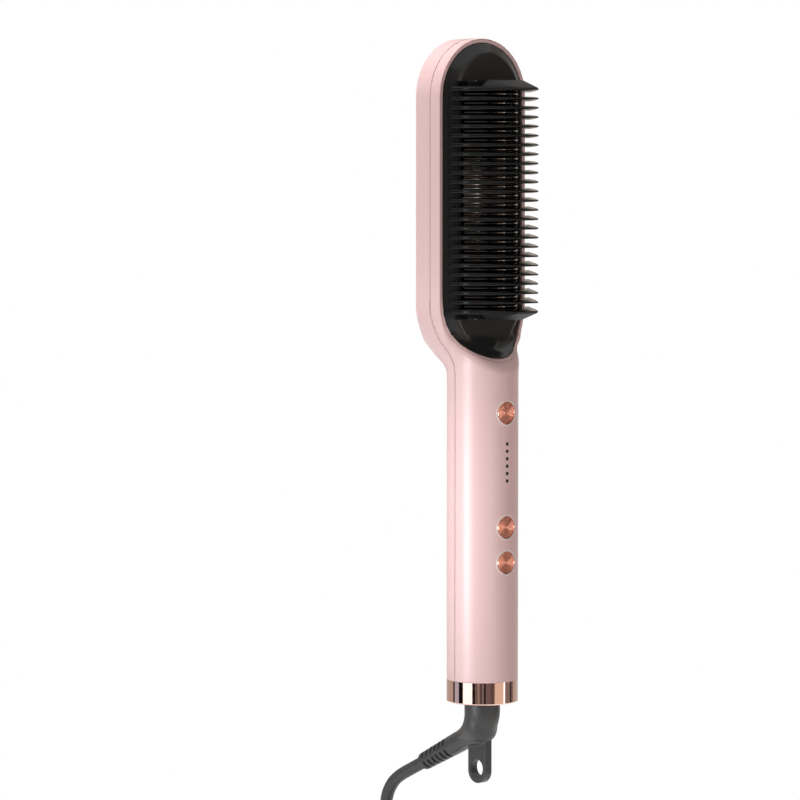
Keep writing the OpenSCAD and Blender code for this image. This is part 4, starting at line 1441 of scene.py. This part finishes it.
@dataclass
class Fittings:
    """The end ring, the buttons and the lamp windows."""

    layout: Layout
    keys: dict[str, Body] = field(
        default_factory=lambda: {
            "power_button": Body.POWER,
            "plus_button": Body.PLUS,
            "minus_button": Body.MINUS,
        }
    )
    turns: int = 96
    cap_r: float = 4.7
    flange_r: float = 5.8
    turned_rings: int = 28
    ring_h: float = 0.012
    lamp_count: int = 6
    lamp_r: float = 0.85
    lamp_inset: float = 3.5
    bar_half: float = 1.8
    bar_y: tuple[float, float] = (-12.6, -11.6)

    def ring(self, metal: Material) -> None:
        """Builds the polished end ring.

        Args:
            metal: its material.
        """
        lay = self.layout
        r, low, top = lay.handle_r, lay.ring_low, lay.ring_top
        inner, lip = r - 2.1, r - 3.1
        profile = [
            (lip, top + 0.15), (lip, low + 2.5), (inner, low + 2.5), (inner, low + 0.15),
            (inner + 0.15, low), (r - 0.55, low), (r - 0.5, low), (r - 0.25, low + 0.07),
            (r - 0.07, low + 0.25), (r, low + 0.5), (r, low + 0.55), (r, top + 0.15),
            (lip, top + 0.15),
        ]
        piece = lathe("polished_ring", profile, 2 * self.turns)
        finish_piece(piece, Body.BRUSH, metal, "end_ring", "end_ring")

    def button(self, node: str, metal: Material) -> None:
        """Builds one dished button with turned rings on its face.

        Args:
            node: the CAD node it stands for.
            metal: its material.
        """
        low, high = Layout.box(node)
        r, front, back = self.cap_r, low[1], high[1]
        face = front + 0.35
        profile = [(0.0, face)]
        for k in range(1, self.turned_rings + 1):
            profile.append(((r - 0.45) * k / self.turned_rings, face + self.ring_h * (k % 2)))
        profile += [
            (r - 0.3, front), (r - 0.1, front + 0.08), (r, face), (r, front + 3.0),
            (self.flange_r, front + 3.0), (self.flange_r, front + 4.0), (2.0, front + 4.0),
            (2.0, back), (0.0, back),
        ]
        name, middle = node.replace("button", "key_cap"), (0, 0, (low[2] + high[2]) / 2)
        piece = lathe(name, profile, self.turns, middle, along_y=True, sharp=3.0)
        finish_piece(piece, self.keys[node], metal, "buttons", node)

    def lamp_row(self, lens: Material) -> None:
        """Builds the row of lamp windows with the bar behind them.

        Args:
            lens: their material.
        """
        low, high = Layout.box("light_guide")
        r, front = self.lamp_r, -self.layout.handle_r - 0.02
        profile = [(0, 0), (r - 0.1, 0), (r, 0.1), (r, 2.6), (0, 2.6)]
        unit = lathe("lamp_unit", profile, 20, (0, front, 0), along_y=True)
        first, last = low[2] + self.lamp_inset, high[2] - self.lamp_inset
        step = (0, 0, (last - first) / (self.lamp_count - 1))
        row = Repeat("lamp_windows", unit, (0, 0, first), step, self.lamp_count).make(lens)
        finish_piece(row, Body.BRUSH, lens, "light_guide", "light_guide")
        half, (near, far) = self.bar_half, self.bar_y
        bar = flat_box("light_bar", (-half, near, low[2]), (half, far, high[2]))
        finish_piece(bar, Body.BRUSH, lens, "light_guide", "light_guide")

    def build(self, ring: Material, copper: Material, lens: Material) -> None:
        """Builds and dresses the fittings.

        Args:
            ring: material of the end ring.
            copper: material of the buttons.
            lens: material of the lamp windows.
        """
        self.ring(ring)
        for node in self.keys:
            self.button(node, copper)
        self.lamp_row(lens)


# The swivel, the cord and the plug


@dataclass
class Swivel:
    """The moulded cord guard with its hanging tab."""

    layout: Layout
    collar_r: float = 7.5
    elbow_drop: float = 12.0
    bulb_drop: float = 4.0
    bulb_h: float = 12.5
    boot_end: Spot = (0.0, 36.0, -105.0)
    boot_root_r: float = 4.7
    boot_mid_r: float = 4.43
    boot_end_r: float = 3.8
    boot_taper: float = 21.0
    slot_count: int = 6
    slot_first: float = 3.2
    slot_pitch: float = 3.0
    slot_w: float = 1.35
    slot_depth: float = 0.765
    tab_y: float = 1.4
    tab_r: float = 5.3
    tab_half: float = 2.0
    tab_drop: float = 17.7
    loop_r: float = 3.7
    loop_drop: float = 16.6

    def guard(self, x: Array, y: Array, z: Array) -> Array:
        """Returns the field of the cord guard."""
        low = self.layout.ring_low
        elbow = low - self.elbow_drop
        bulb_top, bulb_h = low - self.bulb_drop, self.bulb_h
        drop = np.clip((bulb_top - z) / bulb_h, 0, 0.9999)
        radius = self.collar_r * np.sqrt(1 - drop**2)
        lean = np.where(z < bulb_top, 0.8 - 0.35 * drop, 1.0)
        bulb = np.maximum(
            (np.hypot(x, y) - radius) * lean, slab(z, bulb_top - bulb_h, low + 0.3)
        )
        away, along = rod(x, y, z, (0, 0, elbow), self.boot_end)
        length = math.dist((0, 0, elbow), self.boot_end)
        r = np.interp(
            along,
            [0, length - self.boot_taper, length],
            [self.boot_root_r, self.boot_mid_r, self.boot_end_r],
        )
        boot = soft_max(away - r, slab(along, 0, length), 0.5)
        body = soft_min(bulb, boot, 5.5)
        upward = (y + 2 * (z - elbow)) / math.sqrt(5)
        for k in range(self.slot_count):
            at = length - self.slot_first - k * self.slot_pitch
            for turn in (45, 135, 225, 315):
                a = math.radians(turn)
                reach = x * math.cos(a) + upward * math.sin(a)
                slot = np.maximum(
                    self.slot_depth * r - reach, np.abs(along - at) - self.slot_w / 2
                )
                body = soft_max(body, -slot, 0.05)
        round_z = elbow - self.tab_drop
        tab = np.hypot(y - self.tab_y, z - np.clip(z, round_z, elbow + 2)) - self.tab_r
        hole = self.loop_r - np.hypot(y - self.tab_y, z - (elbow - self.loop_drop))
        tab = np.maximum(tab, z - elbow - 2)
        tab = soft_max(tab, np.abs(x) - self.tab_half, 0.35)
        return soft_max(soft_min(body, tab, 0.6), hole, 0.3)

    def build(self, grey: Material) -> None:
        """Builds and dresses the guard.

        Args:
            grey: its material.
        """
        low = (-self.collar_r, -self.collar_r, self.layout.ring_low - 35)
        high = (self.collar_r, 40, self.layout.ring_low + 1)
        piece = skin("moulded_guard", self.guard, low, high, 0.35)
        finish_piece(piece, Body.SWIVEL, grey, "guard", "cord_guard")


@dataclass
class MainsCord:
    """The mains cord: out of the guard, down, folded into a hank and into its plug."""

    diameter: float = 5.4
    lead: tuple[Spot, ...] = (
        (0, 36, -105), (0, 43, -108.5), (0, 50, -112), (0, 54.3, -114.8), (0, 57, -117.5),
        (0.1, 59.2, -120.7), (0.4, 60.8, -124.2), (0.9, 61.8, -127.9), (1.5, 62.2, -132),
        (2.1, 62.2, -137), (2.6, 62.2, -142), (2.9, 62.2, -148), (3, 62.2, -156),
        (3, 62.2, -164),
    )
    quarters: int = 21
    run: float = 84.0
    step: float = 6.4
    inner_r: float = 16.6
    waist: float = 11.0
    waist_near: float = 0.3
    waist_far: float = 0.76
    layer_x: float = 3.0
    tail_steps: int = 6
    tail_end: Spot = (-3.0, 62.2, -272.0)

    @property
    def mid_turn(self) -> float:
        """Turn at which the winding changes from inwards to outwards."""
        return self.quarters / 8

    @property
    def centre(self) -> tuple[float, float]:
        """Depth and height of the middle of the hank."""
        start = self.lead[-1]
        return start[1] - self.inner_r - self.step * self.mid_turn, start[2] - self.run / 2

    def hank_point(self, u: float) -> Spot:
        """Returns the cord's place after u turns of the hank."""
        cy, cz = self.centre
        r = self.inner_r + self.step * abs(u - self.mid_turn)
        climb = min(max((u - self.mid_turn) / 0.25 + 0.5, 0), 1)
        x = self.layer_x * math.cos(math.pi * climb)
        phase = 4 * (u - math.floor(u + 1e-9))
        side = 1 if phase < 2 else -1
        part = phase - 2 * math.floor(phase / 2 + 1e-9)
        half = self.run / 2
        if part < 1:
            along = half * (1 - 2 * part)
            share = (self.waist_far - abs(along) / half) / (self.waist_far - self.waist_near)
            pulled = r - self.waist * float(half_wave(share))
            return x, cy + side * pulled, cz + side * along
        a = math.pi * (part - 1)
        return x, cy + side * r * math.cos(a), cz - side * (half + r * math.sin(a))

    def route(self) -> list[Spot]:
        """Returns the whole centreline in millimetres."""
        points = smooth_through(self.lead, 4)
        turns, rings = self.quarters / 4, self.quarters * 16
        points += [self.hank_point(turns * k / rings) for k in range(1, rings + 1)]
        start, steps = points[-1], self.tail_steps
        points += [
            tuple(s + (e - s) * k / steps for s, e in zip(start, self.tail_end))
            for k in range(1, steps + 1)
        ]
        return points

    def build(self, grey: Material, plug: Sequence[Object]) -> None:
        """Args:
            grey: its material.
            plug: the pieces on its far end and on its way; not used.
        """
        points = self.route()
        curve = bpy.data.curves.new("mains_cord", "CURVE")
        curve.dimensions = "3D"
        curve.bevel_depth = self.diameter / 2 * MM
        curve.bevel_resolution = 5
        curve.use_fill_caps = True
        line = curve.splines.new("POLY")
        line.points.add(len(points) - 1)
        for spot, p in zip(line.points, points):
            spot.co = (*(v * MM for v in p), 1)
        line.use_smooth = True
        cord = add_object("mains_cord", curve)
        finish_piece(cord, Body.SWIVEL, grey, "cord", "cord_lead", "cord_hank", "cord_tail")


def smooth_through(points: Sequence[Spot], steps: int) -> list[Spot]:
    """Returns a smooth line through points.

    Args:
        points: the points.
        steps: the number of stretches between two of them.
    """
    given = [Vector(p) for p in points]
    padded = [2 * given[0] - given[1], *given, 2 * given[-1] - given[-2]]
    out = [tuple(given[0])]
    for a, b, c, d in zip(padded, padded[1:], padded[2:], padded[3:]):
        for k in range(1, steps + 1):
            t = k / steps
            spot = 0.5 * (
                2 * b + (c - a) * t + (2 * a - 5 * b + 4 * c - d) * t * t
                + (3 * b - a - 3 * c + d) * t**3
            )
            out.append(tuple(spot))
    return out


@dataclass
class Plug:
    """The moulded plug with its relief and pins, and the tie round the hank."""

    low: Array = field(default_factory=lambda: Layout.box("plug_body")[0])
    high: Array = field(default_factory=lambda: Layout.box("plug_body")[1])
    grip_start: float = 12.0
    neck_half: float = 6.5
    relief_len: float = 22.0
    groove_count: int = 5
    groove_pitch: float = 3.2
    groove_r: float = 0.75
    tie_corner: float = 4.2
    tie_wall: float = 1.2

    def body(self, x: Array, y: Array, z: Array) -> Array:
        """Returns the field of the plug's body with its relief."""
        low, high = self.low, self.high
        cx, cy, _ = (low + high) / 2
        half_w, half_t, _ = (high - low) / 2
        relief_low, grip = high[2] - self.relief_len, low[2] + self.grip_start
        part = np.clip((z - grip) / (relief_low - grip), 0, 1)
        wide = half_w + (self.neck_half - half_w) * part
        block = soft_max(np.abs(x - cx) - wide, np.abs(y - cy) - half_t, 3.0) * 0.85
        block = soft_max(block, slab(z, low[2], relief_low), 1.6)
        away = np.hypot(x - cx, y - cy)
        r = np.interp(z, [relief_low - 4, high[2]], [5.2, 3.5])
        relief = soft_max(away - r, slab(z, relief_low - 6, high[2]), 0.4)
        for k in range(self.groove_count):
            ring_z = relief_low + 4 + self.groove_pitch * k
            groove = np.hypot(away - r - 0.2, z - ring_z) - self.groove_r
            relief = soft_max(relief, -groove, 0.2)
        return soft_min(block, relief, 2.0)

    def build(self, grey: Material, metal: Material) -> list:
        """Builds the plug, its pins and the tie.

        Args:
            grey: material of the moulding.
            metal: material of the pins.

        Returns:
            The pieces that hang on the cord.
        """
        moulding = skin("plug_moulding", self.body, self.low, self.high, 0.6)
        finish_piece(moulding, Body.SWIVEL, grey, "guard", "plug_body")
        low, high = Layout.box("plug_pins")
        r = (high[1] - low[1]) / 2
        profile = [(0, low[2]), (r - 0.9, low[2]), (r - 0.35, low[2] + 0.35), (r, low[2] + 1)]
        profile += [(r, high[2]), (0, high[2])]
        unit = lathe("pin_unit", profile, 32, (0, (low[1] + high[1]) / 2, 0))
        gap = high[0] - low[0] - 2 * r
        pins = Repeat("contact_pins", unit, (low[0] + r, 0, 0), (gap, 0, 0), 2).make(metal)
        finish_piece(pins, Body.SWIVEL, metal, "pins", "plug_pins")
        return [moulding, pins, self.tie(grey)]

    def tie(self, grey: Material) -> Object:
        """Builds the band round the hank's waist.

        Args:
            grey: its material.

        Returns:
            The band.
        """
        low, high = Layout.box("cord_tie")
        cx, cy, _ = (low + high) / 2
        half_x, half_y, _ = (high - low) / 2
        corner, wall = self.tie_corner, self.tie_wall
        section = []
        for quarter, (sx, sy) in enumerate(((1, 1), (-1, 1), (-1, -1), (1, -1))):
            for k in range(9):
                a = math.radians(90 * quarter + 90 * k / 8)
                section.append((sx, sy, math.cos(a), math.sin(a)))
        sx, sy, c, s = np.array(section).T
        outside = [(0, corner - 0.25), (0.25, corner), (0.75, corner), (1, corner - 0.25)]
        inside = [(h, 2 * corner - wall - r) for h, r in reversed(outside)]
        rings = []
        for h, r in outside + inside:
            x, y = cx + sx * (half_x - corner) + r * c, cy + sy * (half_y - corner) + r * s
            z = np.full_like(x, low[2] + (high[2] - low[2]) * h)
            rings.append(np.column_stack([x, y, z]))
        piece = tube("hank_band", np.array(rings), SHARP_DEG)
        return finish_piece(piece, Body.SWIVEL, grey, "guard", "cord_tie")


# The studio


@dataclass(frozen=True)
class Lamp:
    """One soft lamp. Its bearing runs from the camera's, to the left where negative."""

    name: str
    bearing_deg: float
    height_m: float
    away_m: float
    size_m: tuple[float, float]
    watts: float
    mirrored: bool = False
    spread_deg: float = 180.0
    colour: tuple[float, float, float] = (1.0, 1.0, 1.0)

    def build(self, azimuth: float) -> None:
        """Hangs the lamp up, turned to the middle of the brush.

        Args:
            azimuth: the camera's bearing in degrees.
        """
        data = bpy.data.lights.new(self.name, "AREA")
        data.shape = "RECTANGLE"
        data.size, data.size_y = self.size_m
        data.energy = self.watts
        data.spread = math.radians(self.spread_deg)
        data.color = self.colour
        lamp = add_object(self.name, data)
        a = math.radians(azimuth + self.bearing_deg)
        spot = Vector((math.sin(a) * self.away_m, -math.cos(a) * self.away_m, self.height_m))
        lamp.location = spot
        lamp.rotation_euler = (-spot).to_track_quat("-Z", "Y").to_euler()
        lamp.visible_glossy = self.mirrored


@dataclass
class Studio:
    """The camera, the lamps, the floor and the surroundings."""

    azimuth: float = -42.0
    distance_m: float = 1.638
    side_shift_mm: float = -34.65
    aim_z_mm: float = 52.0
    pitch: float = 3.82
    focal_px: float = 3907.0
    image_px: float = 800.0
    sensor_mm: float = 36.0
    floor_z_m: float = -0.40
    floor_r_m: float = 1.25
    floor_level: float = 0.85
    soft_level: float = 0.35
    wall_m: float = 2.2
    wall_low_m: float = -0.7
    wall_high_m: float = 1.8
    wall_level: float = 2.0
    wall_soft_level: float = 0.78
    bands: tuple[tuple[float, str, float], ...] = (
        (-180, "C6BDB1", 1), (-110, "383638", 1), (-102, "C6CCDF", 1), (-84, "0C0C0C", 1),
        (-67, "FFFFFF", 2), (-34, "0C0C0C", 1), (-25, "8D837E", 1), (-20, "4A4442", 1),
        (-17, "A79B92", 1), (-11, "6A605C", 1), (-7, "3A3634", 1), (-4, "8D837E", 1),
        (4, "0C0C0C", 1), (9, "7C6E6E", 1), (24, "6A5C5C", 1), (39, "F4E2CD", 1),
        (71, "FFFFFF", 1.3), (77, "8D837E", 1), (99, "383638", 1), (108, "8D837E", 1),
        (117, "C6BDB1", 1), (137, "FFFFFF", 0.6), (165, "C6BDB1", 1),
    )
    lamps: tuple[Lamp, ...] = (
        Lamp("key_strip", -51, -0.027, 0.35, (0.16, 0.12), 0.089, True, 50, (0.95, 1.0, 1.02)),
        Lamp("front_fill", 32, -0.03, 0.5, (0.25, 0.25), 0.58, colour=(1.0, 0.97, 0.93)),
        Lamp("top_fill", -60, 0.55, 0.08, (0.2, 0.2), 0.9),
        Lamp("head_fill", -75, 0.26, 0.2, (0.1, 0.1), 0.23),
        Lamp("back_fill", 170, 0.1, 1.0, (0.8, 0.8), 4.0),
        Lamp("rim_strip", 75, 0.0, 1.2, (0.05, 0.6), 0.5, True),
    )

    def camera(self) -> None:
        """Places the camera at the photograph's viewing angle."""
        a, p = math.radians(-self.azimuth), math.radians(self.pitch)
        ahead = Vector((math.sin(a) * math.cos(p), math.cos(a) * math.cos(p), -math.sin(p)))
        right = Vector((math.cos(a), -math.sin(a), 0))
        aim = right * self.side_shift_mm * MM + Vector((0, 0, self.aim_z_mm * MM))
        data = bpy.data.cameras.new("camera")
        data.sensor_width = self.sensor_mm
        data.lens = self.sensor_mm * self.focal_px / self.image_px
        data.clip_end = 50
        camera = add_object("camera", data)
        camera.location = aim - ahead * self.distance_m
        camera.rotation_euler = ahead.to_track_quat("-Z", "Y").to_euler()
        bpy.context.scene.camera = camera

    def floor(self) -> None:
        """Lays a wide pale floor well below the hanging plug."""
        level = self.floor_z_m / MM
        profile = [(self.floor_r_m / MM, level), (0.0, level)]
        floor = lathe("floor", profile, 48, closed=False)
        material, graph, shader = new_material("pale_floor")
        glow = graph.math("MULTIPLY", self.looked_at(graph), self.floor_level)
        graph.set(shader, {
            "Base Color": (0.85, 0.85, 0.85, 1.0),
            "Roughness": 0.8,
            "Specular IOR Level": 0.1,
            "Emission Color": WHITE,
            "Emission Strength": glow,
        })
        paint(floor, material)

    def walls(self) -> None:
        """Stands banded studio walls round the brush, which the camera doesn't see."""
        profile = [(self.wall_m, self.wall_low_m), (self.wall_m, self.wall_high_m)]
        profile = [(r / MM, h / MM) for r, h in profile]
        walls = lathe("studio_walls", profile, 96, closed=False)
        material, graph, shader = new_material("wall_bands")
        parts = graph.add("ShaderNodeSeparateXYZ", {0: graph.place()}).outputs
        bearing = graph.math("ARCTAN2", parts["X"], graph.math("MULTIPLY", parts["Y"], -1))
        share = graph.math(
            "MULTIPLY_ADD", bearing, 1 / (2 * math.pi), 0.5 - self.azimuth / 360
        )
        stops = [
            ((turn + 180) / 360, (*(c * level / self.wall_level for c in hexa(tint)[:3]), 1.0))
            for turn, tint, level in self.bands
        ]
        level = graph.math(
            "MULTIPLY_ADD",
            self.looked_at(graph),
            self.wall_level - self.wall_soft_level,
            self.wall_soft_level,
        )
        graph.set(shader, {
            "Base Color": (0.0, 0.0, 0.0, 1.0),
            "Specular IOR Level": 0.0,
            "Emission Color": graph.steps(stops, graph.math("FRACT", share)),
            "Emission Strength": level,
        })
        paint(walls, material)
        walls.visible_camera = False

    def world(self) -> None:
        """Gives the surroundings: white to look at, and a softer light on the brush."""
        world = bpy.data.worlds.new("studio")
        bpy.context.scene.world = world
        world.use_nodes = True
        graph, nodes = Graph(world.node_tree), world.node_tree.nodes
        graph.set(nodes["Background"], {"Color": WHITE})
        soft = graph.add("ShaderNodeBackground", {"Color": WHITE, "Strength": self.soft_level})
        shaders = {1: soft.outputs[0], 2: nodes["Background"].outputs[0]}
        seen = graph.add("ShaderNodeMixShader", {0: self.looked_at(graph), **shaders})
        graph.set(nodes["World Output"], {"Surface": seen.outputs[0]})

    @staticmethod
    def looked_at(graph: Graph) -> Socket:
        """Returns a mask that is 1 for camera, glossy and transmission rays."""
        path = graph.add("ShaderNodeLightPath").outputs
        mask = path["Is Camera Ray"]
        for name in ("Is Glossy Ray", "Is Transmission Ray"):
            mask = graph.math("ADD", mask, path[name], clamp=True)
        return mask

    def build(self) -> None:
        """Sets up the whole studio."""
        bpy.context.scene.view_settings.view_transform = "Standard"
        self.camera()
        self.floor()
        self.walls()
        self.world()
        for lamp in self.lamps:
            lamp.build(self.azimuth)


def dress_frame(frame: dict, effects: Effects) -> None:
    """Gives the CAD nodes that stay their materials.

    Args:
        effects: the shared node groups.
    """
    looks: dict[Finish, tuple[str, ...]] = {
        WARM_WHITE: ("heating_element", "thermal_fuse", "contact_holder", "heater_wires",
                     "supply_wires", "power_plunger", "plus_plunger", "minus_plunger", "lamps"),
        MICA: ("insulating_sheet",),
        PLAIN_STEEL: ("heater_clamp", "clamp_screws", "comb_screws", "housing_screws",
                      "board_screws", "spindle_clip"),
        DARK_PARTS: ("temperature_sensor", "power_parts", "key_switches", "end_cap",
                     "swivel_spindle"),
        BOARD_GREEN: ("control_board",),
        BRASS: ("contact_springs", "slip_rings"),
    }
    for finish, names in looks.items():
        material = finish.make(effects)
        for name in names:
            paint(frame["nodes"][name], material)


def main() -> None:
    """Builds the dressed brush and its studio."""
    logging.basicConfig(level=logging.INFO, format="%(name)s: %(message)s")
    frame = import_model()
    effects = Effects()
    Studio().build()
    grey = CORD_GREY.make(effects)
    guard_grey = GUARD_GREY.make(effects)
    on_cord = Plug().build(guard_grey, PIN_METAL.make(effects))
    MainsCord().build(grey, on_cord)
    layout = Layout.read()
    Swivel(layout).build(guard_grey)
    holes = tuple(
        float(Layout.box(node)[:, 2].mean())
        for node in ("power_button", "plus_button", "minus_button")
    )
    Housing(layout, hole_z=holes).build(
        PINK.make(effects), GLOSS_BLACK.make(effects), GROOVE_SHADOW.make(effects),
        HIGHLIGHT_RIM.make(effects), SEAM_LINE.make(effects),
    )
    Comb(layout).build(
        COMB_BLACK.make(effects), COMB_SATIN.make(effects), DARK_METAL.make(effects)
    )
    Back(layout).build(SATIN_ROSE.make(effects))
    Fittings(layout).build(
        ROSE_METAL.make(effects), COPPER.make(effects), LENS_BROWN.make(effects)
    )
    dress_frame(frame, effects)


if __name__ == "__main__":
    main()
